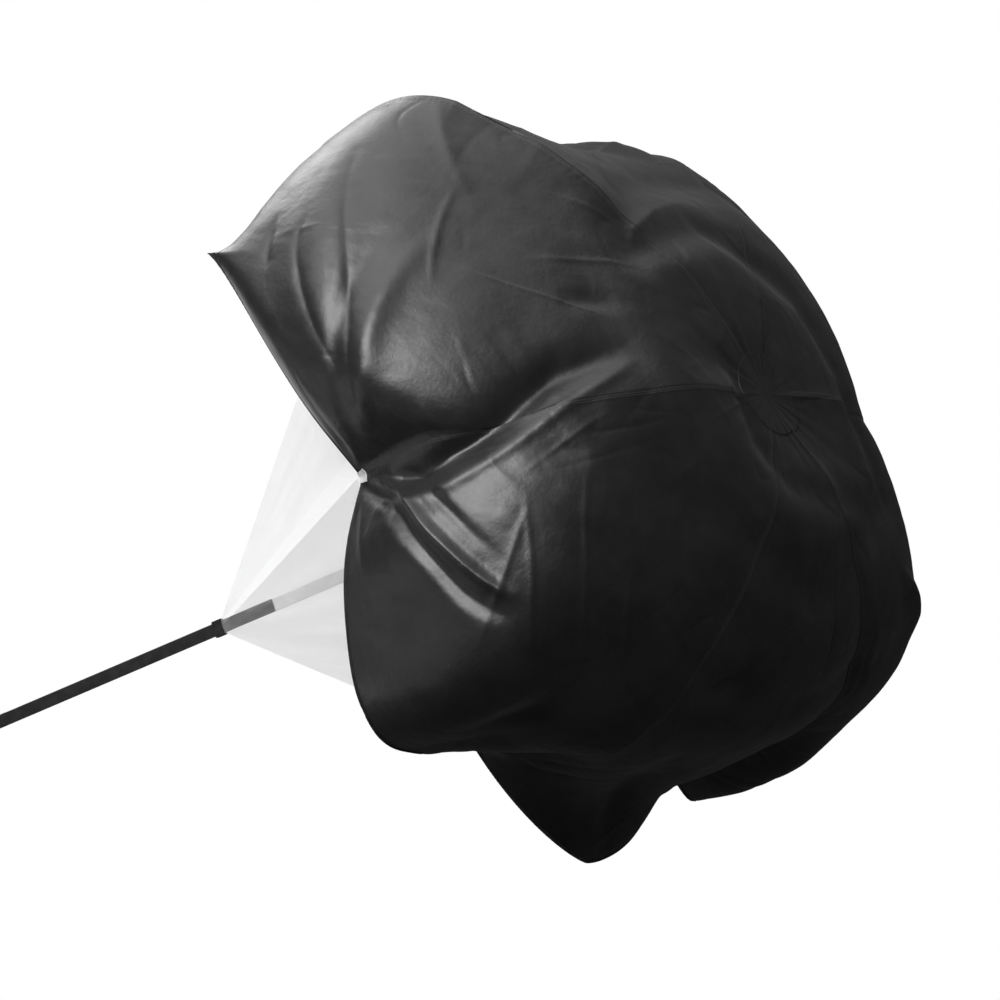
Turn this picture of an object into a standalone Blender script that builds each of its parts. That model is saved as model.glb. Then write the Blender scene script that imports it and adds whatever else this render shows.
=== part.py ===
"""Speed parachute, flying behind a runner: canopy, net, tow strap and waist belt.

Everything is drawn along the line of pull: x runs downwind along the tow strap, z is square to it
and up, and -y is towards the side that shows. One empty then raises that line by TOW_RISE.
"""

import math

import bmesh
import bpy
import numpy as np
from mathutils import Vector

MM = 0.001
GAP = 0.3 * MM
TOW_RISE = math.radians(20.3)

# Canopy
GORES = 6
FIRST_SEAM = math.radians(27)
CANOPY_RADIUS = 740 * MM
CANOPY_DEPTH = 655 * MM
MOUTH_DISTANCE = 640 * MM
GORE_LENGTH = 950 * MM
CLOTH_WALL = 1.0 * MM
HEM_WIDTH = 12 * MM
HEM_WALL = 2.0 * MM
PATCH_WIDTH = 55 * MM
PATCH_WALL = 2.0 * MM
ANCHOR_WIDTH = 30 * MM
ANCHOR_WALL = 1.5 * MM
TAB_LENGTH = 33 * MM
TAB_WIDTH = 13 * MM
TAB_WALL = 1.5 * MM
GORE_ROWS = 20
GORE_COLUMNS = 16

# Each meridian runs from the hem towards the crown in (share of the depth, share of the radius)
CROWN_DEPTH_SHARE = 0.94
SEAM_SHARES = (
    ((0.10, 0.83), (0.22, 1.05), (0.50, 1.05), (0.73, 0.82), (0.92, 0.40)),
    ((0.13, 0.83), (0.28, 0.92), (0.50, 0.94), (0.74, 0.76), (0.96, 0.38)),
    ((-0.08, 0.67), (0.18, 0.82), (0.46, 0.92), (0.72, 0.76), (0.96, 0.38)),
    ((0.05, 0.77), (0.20, 0.78), (0.44, 0.84), (0.74, 0.74), (0.97, 0.38)),
    ((0.04, 0.80), (0.26, 0.94), (0.54, 0.95), (0.77, 0.76), (0.95, 0.38)),
    ((0.06, 0.84), (0.16, 1.11), (0.44, 1.00), (0.69, 0.82), (0.91, 0.42)),
)
GORE_SHARES = (
    ((-0.08, 1.12), (0.08, 1.09), (0.34, 1.04), (0.64, 0.80), (0.92, 0.40)),
    ((-0.06, 0.95), (0.18, 1.00), (0.46, 0.98), (0.74, 0.78), (0.96, 0.38)),
    ((0.01, 0.95), (0.14, 0.83), (0.38, 0.82), (0.72, 0.76), (0.97, 0.38)),
    ((-0.08, 1.08), (0.20, 1.13), (0.50, 1.05), (0.76, 0.89), (0.94, 0.45)),
    ((0.00, 0.96), (0.24, 1.02), (0.52, 0.99), (0.77, 0.79), (0.93, 0.40)),
    ((0.12, 0.92), (0.22, 0.90), (0.38, 0.85), (0.64, 0.74), (0.92, 0.40)),
)
PEAK_SHARES = (0.40, 0.64, 0.44, 0.30, 0.5, 0.5)
LOBE_POWER_SHARES = (0.72, 1.8, 1.35, 1.1, 1.6, 1.6)
ROUND_POWER_SHARE = 2.0

# The main folds: how high each stands, its half width, and where it runs
FOLD_HEIGHTS = (-30 * MM, 22 * MM, -16 * MM, -18 * MM, -16 * MM, 14 * MM, -14 * MM, -12 * MM, -18 * MM)
FOLD_WIDTHS = (34 * MM, 24 * MM, 24 * MM, 32 * MM, 40 * MM, 40 * MM, 40 * MM, 40 * MM, 50 * MM)
# Points in (share of the way to the crown, gores round)
FOLD_PLACE_SHARES = (
    ((0.12, 1.06), (0.39, 1.05), (0.51, 1.01), (0.64, 0.89), (0.73, 0.79)),
    ((0.23, 1.09), (0.35, 1.26), (0.41, 1.43)),
    ((0.16, 1.16), (0.30, 1.36), (0.36, 1.54)),
    ((0.19, 1.72), (0.30, 1.72), (0.41, 1.73)),
    ((0.60, 1.99), (0.60, 2.30), (0.61, 3.48)),
    ((0.52, 0.46), (0.41, 0.70), (0.29, 0.94)),
    ((0.39, 0.18), (0.42, 0.49), (0.37, 0.70)),
    ((0.83, 0.76), (0.93, 0.95), (0.77, 3.94)),
    ((0.70, 0.43), (0.76, 5.97), (0.61, 4.74)),
)
FOLD_FADE_SHARES = (0.04, 0.96)
NORMAL_STEP_SHARE = 0.004
NORMAL_RANGE_SHARES = (0.01, 0.985)

# Net and straps
NET_WALL = 0.8 * MM
NET_GAP = 0.8 * MM
NET_ROWS = 12
NET_COLUMNS = 6
NET_SCALLOP = 25 * MM
STRAP_WIDTH = 25 * MM
TOW_WALL = 1.8 * MM
CENTRE_WALL = 1.5 * MM
TOW_LAP = 128 * MM
CENTRE_LAP = 60 * MM
TOW_RUN = 550 * MM
COLLAR_LENGTH = 22 * MM
COLLAR_WALL = 3 * MM
LOOP_LAP = 45 * MM
LOOP_CLOSING_SHARES = (0.8, 0.95)
OVERRUN = 5 * MM

# Belt
RING_WIRE = 5 * MM
RING_DEPTH = 27 * MM
BELT_WIDTH = 50 * MM
BELT_WALL = 1.6 * MM
BELT_CLEARANCE = 2 * MM
BELT_STRAIGHT = 200 * MM
BELT_TURN_RADIUS = 85 * MM
FOLD_LAP = 18 * MM
TAIL_LENGTH = 115 * MM
BAR = 4 * MM
SLOT = 6 * MM
BUCKLE_WALL = 2 * MM
BUCKLE_THICKNESS = 13 * MM
BUCKLE_DEPTH = 34 * MM
BODY_LENGTH = 10 * MM
TONGUE_LENGTH = 26 * MM
TONGUE_WIDTH = 16 * MM
TONGUE_THICKNESS = 6 * MM
ARM_LENGTH = 28 * MM
ARM_WIDTH = 7 * MM
ARM_PIVOT_RADIUS = 3.5 * MM
ARM_THICKNESS = 7 * MM
ADJUSTER_PLACE = 67 * MM
TUNNEL_LENGTH = 14 * MM
EDGE_RADIUS = 0.8 * MM


def clear_scene():
    for thing in list(bpy.data.objects):
        bpy.data.objects.remove(thing)


def material(name, colour, roughness, metallic=0.0):
    made = bpy.data.materials.new(name)
    made.use_nodes = True
    shader = made.node_tree.nodes["Principled BSDF"]
    shader.inputs["Base Color"].default_value = (*colour, 1.0)
    shader.inputs["Roughness"].default_value = roughness
    shader.inputs["Metallic"].default_value = metallic
    made.diffuse_color = (*colour, 1.0)
    return made


def mesh_object(name, points, faces, look, frame, origin=(0.0, 0.0, 0.0)):
    """A mesh drawn in the tow frame, with its object's origin at the given point."""
    mesh = bpy.data.meshes.new(name)
    moved = [tuple(Vector(point) - Vector(origin)) for point in points]
    mesh.from_pydata(moved, [], [tuple(map(int, face)) for face in faces])
    tidy = bmesh.new()
    tidy.from_mesh(mesh)
    bmesh.ops.recalc_face_normals(tidy, faces=tidy.faces)
    tidy.to_mesh(mesh)
    tidy.free()
    mesh.materials.append(look)
    made = bpy.data.objects.new(name, mesh)
    bpy.context.collection.objects.link(made)
    made.parent = frame
    made.location = origin
    return made


# Canopy


def through(points, share):
    """A smooth line through points of (depth, radius), read at a share of its way."""
    last = len(points) - 1
    before = 2 * points[:1] - points[1:2]
    after = points[-2:-1] * np.array([1, -1])
    p = np.concatenate([before, points, after])
    place = np.clip(share * last, 0, last * (1 - 1e-9))
    i = place.astype(int)
    f = (place - i)[..., None]
    a, b, c, d = p[i], p[i + 1], p[i + 2], p[i + 3]
    square = (2 * a - 5 * b + 4 * c - d) * f**2
    cube = (3 * b - a - 3 * c + d) * f**3
    return 0.5 * (2 * b + (c - a) * f + square + cube)


def picked(stack, index):
    return np.take_along_axis(stack, index[None, ..., None], 0)[0]


def smooth_canopy(share, turn):
    """Canopy without its folds, at a share of the way to the crown and a number of gores round."""
    share, turn = np.broadcast_arrays(np.asarray(share, float), np.asarray(turn, float))
    rows = [np.array((*row, (CROWN_DEPTH_SHARE, 0.0))) for row in SEAM_SHARES + GORE_SHARES]
    lines = np.stack([through(row, share) for row in rows])
    gore = np.floor(turn).astype(int) % GORES
    across = turn - np.floor(turn)
    left = picked(lines, gore)
    right = picked(lines, (gore + 1) % GORES)
    middle = picked(lines, gore + GORES)
    settled = np.minimum(1, 2 * share)
    peak = np.array(PEAK_SHARES)[gore]
    peak = peak + (0.5 - peak) * settled
    power = np.array(LOBE_POWER_SHARES)[gore]
    power = power + (ROUND_POWER_SHARE - power) * np.minimum(1, 3 * share)
    even = np.where(across < peak, across / peak, 1 + (across - peak) / (1 - peak))
    bulge = (1 - np.abs(even - 1) ** power)[..., None]
    flat = left + (right - left) * across[..., None]
    out = flat + bulge * (middle - (left + right) / 2)
    bearing = FIRST_SEAM + turn * 2 * math.pi / GORES
    along = MOUTH_DISTANCE + CANOPY_DEPTH * out[..., 0]
    radius = CANOPY_RADIUS * out[..., 1]
    return np.stack([along, -radius * np.sin(bearing), radius * np.cos(bearing)], -1)


def normals_of(surface, share, turn):
    """Outward unit normals, averaged across a seam."""
    step = NORMAL_STEP_SHARE
    share = np.clip(share, *NORMAL_RANGE_SHARES)
    up = surface(share + step, turn) - surface(share - step, turn)
    round_it = surface(share, turn + step) - surface(share, turn - step)
    normal = np.cross(round_it, up)
    return normal / np.linalg.norm(normal, axis=-1, keepdims=True)


def fold_height(points):
    """How far the folds lift the cloth here: each is a bell across a line, and fades at its ends."""
    height = np.zeros(points.shape[:-1])
    for tall, wide, places in zip(FOLD_HEIGHTS, FOLD_WIDTHS, FOLD_PLACE_SHARES):
        stations = np.array(places)
        count = 8 * (len(stations) - 1) + 1
        at = np.linspace(0, len(stations) - 1, count)
        shares = np.interp(at, range(len(stations)), stations[:, 0])
        turns = np.interp(at, range(len(stations)), np.unwrap(stations[:, 1], period=GORES))
        line = smooth_canopy(shares, turns)
        away = np.linalg.norm(points[..., None, :] - line, axis=-1)
        fade = np.sin(math.pi * np.linspace(*FOLD_FADE_SHARES, count))
        height = height + tall * (fade * np.exp(-((away / wide) ** 2))).max(axis=-1)
    return height


def canopy(share, turn):
    base = smooth_canopy(share, turn)
    return base + fold_height(base)[..., None] * normals_of(smooth_canopy, share, turn)


def shell(name, share, turn, inner, outer, look, frame, closed=False, inset=0.0):
    """A closed skin over a grid of the canopy, between two offsets from it.

    closed joins the last column to the first, and inset draws both side edges in.
    A row at share 1 shrinks to the crown's one point. Both skins split each cell along the same
    diagonal, so the thin wall stays even where the cloth folds.
    """
    base = canopy(share, turn)
    out = normals_of(smooth_canopy, share, turn)
    for edge, way in ((0, 1), (-1, -1)):
        ahead = np.gradient(base[:, edge], axis=0)
        sideways = np.cross(ahead, out[:, edge])
        sideways /= np.linalg.norm(sideways, axis=-1, keepdims=True)
        base[:, edge] += way * inset * sideways
    rows, columns = share.shape
    crowned = share[-1, 0] >= 1
    grid_rows = rows - 1 if crowned else rows
    crown_out = np.array([1.0, 0.0, 0.0])
    points = []
    for offset in (outer, inner):
        points.extend((base + offset * out)[:grid_rows].reshape(-1, 3))
        if crowned:
            points.append(base[-1, 0] + offset * crown_out)
    layer = len(points) // 2
    wrap = columns if closed else columns - 1
    faces = []
    for side, flip in ((0, 1), (layer, -1)):
        for i in range(grid_rows - 1):
            for j in range(wrap):
                k = (j + 1) % columns
                a, b, c, d = i * columns + j, (i + 1) * columns + j, (i + 1) * columns + k, i * columns + k
                for corners in ((a, b, c), (a, c, d)):
                    faces.append([side + corner for corner in corners][::flip])
        if crowned:
            for j in range(wrap):
                first = (grid_rows - 1) * columns
                k = (j + 1) % columns
                faces.append([side + c for c in (first + j, layer - 1, first + k)][::flip])
    edges = [(j, (j + 1) % columns) for j in range(wrap)]
    if not crowned:
        first = (grid_rows - 1) * columns
        edges += [(first + (j + 1) % columns, first + j) for j in range(wrap)]
    if not closed:
        edges += [((i + 1) * columns, i * columns) for i in range(grid_rows - 1)]
        last = columns - 1
        edges += [(i * columns + last, (i + 1) * columns + last) for i in range(grid_rows - 1)]
    faces += [(a, b, layer + b, layer + a) for a, b in edges]
    made = mesh_object(name, points, faces, look, frame)
    made.data.shade_smooth()
    made.data.set_sharp_from_angle(angle=math.radians(40))
    return made


def band(start, end, rows, columns):
    """A grid right round the canopy between two lengths measured from the hem."""
    share = np.linspace(start, end, rows + 1) / GORE_LENGTH
    turn = np.arange(columns) * GORES / columns
    return np.meshgrid(share, turn, indexing="ij")


def make_gore(number, look, frame):
    """Gore of cloth between two seams, from behind the hem to the patch."""
    start = (HEM_WIDTH + 3 * GAP) / GORE_LENGTH
    end = 1 - (PATCH_WIDTH + 2 * GAP) / GORE_LENGTH
    share = np.linspace(start, end, GORE_ROWS + 1)[:, None]
    turn = number + np.linspace(0, 1, GORE_COLUMNS + 1)[None, :]
    share, turn = np.broadcast_arrays(share, turn)
    name = f"canopy_gore_{number + 1}"
    return shell(name, share, turn, -CLOTH_WALL / 2, CLOTH_WALL / 2, look, frame, inset=GAP / 2)


def make_hem(look, frame):
    share, turn = band(0, HEM_WIDTH, 1, GORES * GORE_COLUMNS)
    return shell("rim_hem", share, turn, -HEM_WALL / 2, HEM_WALL / 2, look, frame, closed=True)


def make_crown(name, width, inner, wall, look, frame):
    share, turn = band(GORE_LENGTH - width, GORE_LENGTH, 2, 4 * GORES)
    return shell(name, share, turn, inner, inner + wall, look, frame, closed=True)


def make_rim_tab(number, look, frame):
    """Webbing tab along a seam, over the hem."""
    share = np.linspace(0, TAB_LENGTH / GORE_LENGTH, 4)[:, None]
    seam = smooth_canopy(share, np.full_like(share, number))
    radius = np.linalg.norm(seam[..., 1:], axis=-1)
    half = TAB_WIDTH / 2 / (radius * 2 * math.pi / GORES)
    turn = number + half * np.linspace(-1, 1, 5)[None, :]
    share = np.broadcast_to(share, turn.shape)
    inner = HEM_WALL / 2 + 2 * GAP
    return shell(f"rim_tab_{number + 1}", share, turn, inner, inner + TAB_WALL, look, frame)


# Net and straps


def slab(name, grid, wall, look, frame):
    """A closed sheet of this thickness over a grid of points."""
    across = np.gradient(grid, axis=1)
    along = np.gradient(grid, axis=0)
    out = np.cross(along, across)
    out /= np.linalg.norm(out, axis=-1, keepdims=True)
    rows, columns = grid.shape[:2]
    layer = rows * columns
    points = [*(grid + out * wall / 2).reshape(-1, 3), *(grid - out * wall / 2).reshape(-1, 3)]
    faces = []
    for i in range(rows - 1):
        for j in range(columns - 1):
            a = i * columns + j
            corners = (a, a + columns, a + columns + 1, a + 1)
            faces.append(corners)
            faces.append(tuple(layer + c for c in corners[::-1]))
    top = list(range(columns))
    right = [i * columns + columns - 1 for i in range(rows)]
    bottom = [layer - 1 - j for j in range(columns)]
    left = [(rows - 1 - i) * columns for i in range(rows)]
    for line in (top, right, bottom, left):
        faces += [(a, b, layer + b, layer + a) for a, b in zip(line, line[1:])]
    return mesh_object(name, points, faces, look, frame)


def collar_point(bearing):
    """Where the net leaves the collar, on an oval just inside its outline."""
    tall = STRAP_WIDTH / 2 + COLLAR_WALL
    thick = TOW_WALL + CENTRE_WALL + COLLAR_WALL / 2
    return np.array([COLLAR_LENGTH / 2 + GAP, -thick * math.sin(bearing), tall * math.cos(bearing)])


def make_net(number, look, frame):
    """Net triangle from the collar to the hem between two seams, with a hollowed free edge."""
    ends = []
    for seam in (number, number + 1):
        bearing = FIRST_SEAM + seam * 2 * math.pi / GORES
        start = collar_point(bearing)
        corner = smooth_canopy(0.0, float(seam))
        length = np.linalg.norm(corner - start)
        ends.append((start, start + (corner - start) * (1 - HEM_WALL / length)))
    (left_start, left_end), (right_start, right_end) = ends
    rows = []
    for down in np.linspace(0, 1, NET_ROWS + 1):
        left = left_start + (left_end - left_start) * down
        right = right_start + (right_end - right_start) * down
        width = np.linalg.norm(right - left)
        inset = NET_GAP / 2 / width
        across = np.linspace(inset, 1 - inset, NET_COLUMNS + 1)[:, None]
        line = left + (right - left) * across
        inward = left_start - (left_end + right_end) / 2
        inward = inward / np.linalg.norm(inward)
        rows.append(line + inward * NET_SCALLOP * 4 * across * (1 - across) * down**4)
    return slab(f"mesh_panel_{number + 1}", np.array(rows), NET_WALL, look, frame)


def ribbon(name, path, wall, width, look, frame, origin=(0.0, 0.0, 0.0)):
    """Webbing that stands on edge and follows a path of (x, y)."""
    path = np.array(path)
    ahead = np.gradient(path, axis=0)
    ahead /= np.linalg.norm(ahead, axis=1, keepdims=True)
    side = np.stack([-ahead[:, 1], ahead[:, 0]], 1) * wall / 2
    points = []
    for (x, y), (dx, dy) in zip(path, side):
        points += [
            (x + dx, y + dy, -width / 2),
            (x + dx, y + dy, width / 2),
            (x - dx, y - dy, width / 2),
            (x - dx, y - dy, -width / 2),
        ]
    faces = [(0, 1, 2, 3)]
    for i in range(len(path) - 1):
        for j in range(4):
            k = (j + 1) % 4
            faces.append((4 * i + j, 4 * i + k, 4 * i + 4 + k, 4 * i + 4 + j))
    last = 4 * (len(path) - 1)
    faces.append((last + 3, last + 2, last + 1, last))
    return mesh_object(name, points, faces, look, frame, origin)


def arc(centre, radius, start, end, steps):
    """Points on a circle between two angles in degrees."""
    angles = np.radians(np.linspace(start, end, steps + 1))
    return [(centre[0] + radius * math.cos(a), centre[1] + radius * math.sin(a)) for a in angles]


def box(name, low, high, look, frame):
    """A box between two corners of the tow frame, with its origin at its centre."""
    points = [(x, y, z) for x in (low[0], high[0]) for y in (low[1], high[1]) for z in (low[2], high[2])]
    faces = [(0, 1, 3, 2), (4, 6, 7, 5), (0, 4, 5, 1), (2, 3, 7, 6), (0, 2, 6, 4), (1, 5, 7, 3)]
    centre = (Vector(low) + Vector(high)) / 2
    return mesh_object(name, points, faces, look, frame, centre)


def combine(target, other, operation):
    """A Boolean that keeps the other mesh as a hidden guide."""
    other.hide_render = True
    other.display_type = "WIRE"
    joined = target.modifiers.new(operation.lower(), "BOOLEAN")
    joined.operation = operation
    joined.object = other
    joined.solver = "EXACT"


def round_edges(target, radius):
    softened = target.modifiers.new("bevel", "BEVEL")
    softened.width = radius
    softened.segments = 1
    softened.limit_method = "ANGLE"


def make_collar(look, frame):
    half = COLLAR_LENGTH / 2
    deep = TOW_WALL / 2 + GAP
    back = deep + CENTRE_WALL + GAP
    tall = STRAP_WIDTH / 2 + GAP
    low = (-half, -deep - COLLAR_WALL, -tall - COLLAR_WALL)
    high = (half, back + COLLAR_WALL, tall + COLLAR_WALL)
    collar = box("apex_collar", low, high, look, frame)
    slot = box("collar_slot", (-half - OVERRUN, -deep, -tall), (half + OVERRUN, back, tall), look, frame)
    round_edges(collar, EDGE_RADIUS)
    combine(collar, slot, "DIFFERENCE")
    return collar


def make_straps(looks, frame):
    """Tow strap on the axis, the loop at its end, and the centre strap behind it."""
    black, white = looks
    ribbon("tow_strap", [(-TOW_RUN, 0), (0, 0), (TOW_LAP, 0)], TOW_WALL, STRAP_WIDTH, black, frame)
    behind = TOW_WALL / 2 + GAP + CENTRE_WALL / 2
    crown = canopy(1.0, 0.0)[0]
    end = crown - PATCH_WALL / 2 - GAP - ANCHOR_WALL - GAP
    start = TOW_LAP - CENTRE_LAP
    path = [(start, behind), (TOW_LAP, behind), (end, 0)]
    ribbon("centre_strap", path, CENTRE_WALL, STRAP_WIDTH, white, frame)


def ring_bar_x():
    """Middle of the ring's bar that the tow loop goes round."""
    return -TOW_RUN - LOOP_LAP - RING_WIRE / 2 - GAP


def make_tow_loop(look, frame):
    """Strap end folded round the ring's bar and laid back beside the strap."""
    bar = ring_bar_x()
    radius = RING_WIRE / 2 + GAP + TOW_WALL / 2
    beside = -TOW_WALL - GAP
    closed = -TOW_RUN - LOOP_LAP / 4
    upper, lower = LOOP_CLOSING_SHARES
    path = [(-TOW_RUN - GAP, 0), (closed, 0), (bar + 2 * RING_WIRE, radius * upper)]
    path += arc((bar, 0), radius, 90, 270, 8)
    path += [(bar + 2 * RING_WIRE, -radius * lower), (closed, beside), (-TOW_RUN + LOOP_LAP, beside)]
    return ribbon("tow_loop", path, TOW_WALL, STRAP_WIDTH, look, frame)


def make_ring(look, frame):
    """Rounded rectangle of wire round the belt and through the tow loop."""
    bar = ring_bar_x()
    half_tall = BELT_WIDTH / 2 + BELT_CLEARANCE + RING_WIRE / 2
    corner = RING_WIRE
    near = 0.0
    far = -RING_DEPTH
    outline = []
    for centre, start in (
        ((near - corner, half_tall - corner), 0),
        ((far + corner, half_tall - corner), 90),
        ((far + corner, -half_tall + corner), 180),
        ((near - corner, -half_tall + corner), 270),
    ):
        outline += arc(centre, corner, start, start + 90, 3)
    curve = bpy.data.curves.new("belt_ring", "CURVE")
    curve.dimensions = "3D"
    curve.bevel_depth = RING_WIRE / 2
    curve.bevel_resolution = 3
    line = curve.splines.new("POLY")
    line.points.add(len(outline) - 1)
    line.use_cyclic_u = True
    for point, (x, z) in zip(line.points, outline):
        point.co = (x, 0.0, z, 1.0)
    curve.materials.append(look)
    ring = bpy.data.objects.new("belt_ring", curve)
    bpy.context.collection.objects.link(ring)
    ring.parent = frame
    ring.location = (bar, 0.0, 0.0)
    return ring


# Belt: its middle line is a stadium, and out is away from the wearer at the buckle


def belt_back_x():
    return ring_bar_x() - RING_DEPTH + RING_WIRE / 2 + GAP + BELT_WALL / 2


def belt_front_x():
    return belt_back_x() - 2 * BELT_TURN_RADIUS


BAR_REACH = BAR * math.sqrt(0.5)
FOLD_RADIUS = BAR_REACH + GAP + BELT_WALL / 2
STRAP_OUT = BELT_WALL + GAP
BUCKLE_OUT = STRAP_OUT + FOLD_RADIUS
FEMALE_BAR = BUCKLE_DEPTH + SLOT + BAR / 2
MALE_BAR = BODY_LENGTH + SLOT + BAR / 2 + GAP
ADJUSTER_BAR = ADJUSTER_PLACE + TUNNEL_LENGTH + SLOT + BAR / 2
FRAME_WIDTH = BELT_WIDTH + 2 * BUCKLE_WALL + BELT_CLEARANCE
BUCKLE_WIDTH = FRAME_WIDTH + 4 * BUCKLE_WALL


def front(out, y):
    """A point of the belt's front run from how far out and how far along it lies."""
    return (belt_front_x() - out, y)


def fold_round(out, y, side):
    """Webbing that comes in on a bar's outer side and turns round it, on the y side of this sign."""
    return arc(front(out, y), FOLD_RADIUS, 180, 180 - side * 180, 8)


def make_belt(look, frame):
    """Belt webbing from the buckle's bar round the waist to the adjuster's bar."""
    half = BELT_STRAIGHT / 2
    middle = belt_front_x() + BELT_TURN_RADIUS
    lap = STRAP_OUT + BELT_WALL + GAP
    path = [front(lap, FEMALE_BAR + FOLD_LAP), front(lap, FEMALE_BAR + FOLD_LAP / 2)]
    path += [front(BUCKLE_OUT + FOLD_RADIUS, FEMALE_BAR + BAR)]
    path += fold_round(BUCKLE_OUT, FEMALE_BAR, -1)
    path += [front(STRAP_OUT, FEMALE_BAR + BAR), front(STRAP_OUT / 2, FEMALE_BAR + FOLD_LAP)]
    path += [front(0, FEMALE_BAR + 2 * FOLD_LAP)]
    path += arc((middle, half), BELT_TURN_RADIUS, 180, 0, 16)
    path += arc((middle, -half), BELT_TURN_RADIUS, 0, -180, 16)
    path += [front(0, -ADJUSTER_BAR - BAR)]
    path += fold_round(-FOLD_RADIUS, -ADJUSTER_BAR, 1)
    path += [front(-2 * FOLD_RADIUS, -ADJUSTER_BAR - BAR)]
    path += [front(-2 * FOLD_RADIUS, -ADJUSTER_BAR - BAR - FOLD_LAP / 2)]
    return ribbon("belt_webbing", path, BELT_WALL, BELT_WIDTH, look, frame)


def make_adjuster_strap(look, frame):
    """Strap folded round the buckle's bar, with its straight tail through the adjuster."""
    lap = STRAP_OUT + BELT_WALL + GAP
    path = [front(lap, -MALE_BAR - FOLD_LAP), front(lap, -MALE_BAR - FOLD_LAP / 2)]
    path += [front(BUCKLE_OUT + FOLD_RADIUS, -MALE_BAR - BAR)]
    path += fold_round(BUCKLE_OUT, -MALE_BAR, 1)
    path += [front(STRAP_OUT, -MALE_BAR - BAR), front(STRAP_OUT, -TAIL_LENGTH)]
    return ribbon("adjuster_strap", path, BELT_WALL, BELT_WIDTH, look, frame)


def belt_box(name, out, along, half_width, look, frame):
    """A box on the belt's front from its ranges out and along, centred on the belt's width."""
    low = (belt_front_x() - out[1], along[0], -half_width)
    high = (belt_front_x() - out[0], along[1], half_width)
    return box(name, low, high, look, frame)


def about(middle, size):
    return (middle - size / 2, middle + size / 2)


def make_female(look, frame):
    """Socket half: a flat case open towards the other half, with a window at each side and a bar."""
    out = BUCKLE_OUT
    half = BUCKLE_WIDTH / 2
    inside = about(out, BUCKLE_THICKNESS - 2 * BUCKLE_WALL)
    case = belt_box("buckle_female", about(out, BUCKLE_THICKNESS), (0, BUCKLE_DEPTH), half, look, frame)
    round_edges(case, EDGE_RADIUS)
    tail = (BUCKLE_DEPTH - BUCKLE_WALL, FEMALE_BAR + BAR / 2)
    rear = belt_box("female_rear", about(out, BAR), tail, FRAME_WIDTH / 2, look, frame)
    combine(case, rear, "UNION")
    cavity = (-OVERRUN, BUCKLE_DEPTH - BUCKLE_WALL)
    hollow = belt_box("female_hollow", inside, cavity, half - BUCKLE_WALL, look, frame)
    combine(case, hollow, "DIFFERENCE")
    window = (ARM_LENGTH / 2, ARM_LENGTH)
    sides = belt_box("female_windows", inside, window, half + OVERRUN, look, frame)
    combine(case, sides, "DIFFERENCE")
    slot = (BUCKLE_DEPTH, BUCKLE_DEPTH + SLOT)
    through_slot = about(out, BUCKLE_THICKNESS + 2 * OVERRUN)
    width = BELT_WIDTH / 2 + BELT_CLEARANCE / 2
    rear_slot = belt_box("female_slot", through_slot, slot, width, look, frame)
    combine(case, rear_slot, "DIFFERENCE")
    return case


def make_male(look, frame):
    """Plug half: a frame with a bar for the strap and a tongue that guides it in."""
    out = BUCKLE_OUT
    frame_along = (-MALE_BAR - BAR / 2, -GAP)
    male = belt_box("buckle_male", about(out, BAR), frame_along, FRAME_WIDTH / 2, look, frame)
    tongue_along = (-BODY_LENGTH / 2, TONGUE_LENGTH)
    thick = about(out, TONGUE_THICKNESS)
    tongue = belt_box("male_tongue", thick, tongue_along, TONGUE_WIDTH / 2, look, frame)
    combine(male, tongue, "UNION")
    slot = (-MALE_BAR + BAR / 2, -MALE_BAR + BAR / 2 + SLOT)
    through_slot = about(out, BUCKLE_THICKNESS)
    width = BELT_WIDTH / 2 + BELT_CLEARANCE / 2
    cut = belt_box("male_slot", through_slot, slot, width, look, frame)
    combine(male, cut, "DIFFERENCE")
    return male


def arm_pivot():
    """Middle of a release arm's root, seen along x."""
    inside = BUCKLE_WIDTH / 2 - BUCKLE_WALL - GAP
    return ARM_PIVOT_RADIUS, inside - 2 * ARM_WIDTH


def make_release_arm(name, up, look, frame):
    """Springy arm with a thumb pad that shows in the case's side window; up is +1 or -1."""
    y, z = arm_pivot()
    tip = BUCKLE_WIDTH / 2 - BUCKLE_WALL - GAP
    outline = arc((y, z), ARM_PIVOT_RADIUS, 100, 260, 6)
    outline += [
        (ARM_LENGTH / 2, z - ARM_PIVOT_RADIUS),
        (ARM_LENGTH, tip - ARM_WIDTH),
        (ARM_LENGTH, tip - ARM_WIDTH / 2),
        (ARM_LENGTH - ARM_WIDTH / 2, tip),
        (ARM_LENGTH / 2 + ARM_WIDTH / 2, tip),
        (ARM_LENGTH / 2, z + ARM_PIVOT_RADIUS),
    ]
    count = len(outline)
    points = []
    for out in about(BUCKLE_OUT, ARM_THICKNESS):
        points += [(belt_front_x() - out, y, up * z) for y, z in outline]
    faces = [list(range(count)), list(range(2 * count - 1, count - 1, -1))]
    faces += [(i, count + i, count + (i + 1) % count, (i + 1) % count) for i in range(count)]
    origin = (belt_front_x() - BUCKLE_OUT, y, up * z)
    return mesh_object(name, points, faces, look, frame, origin)


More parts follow.
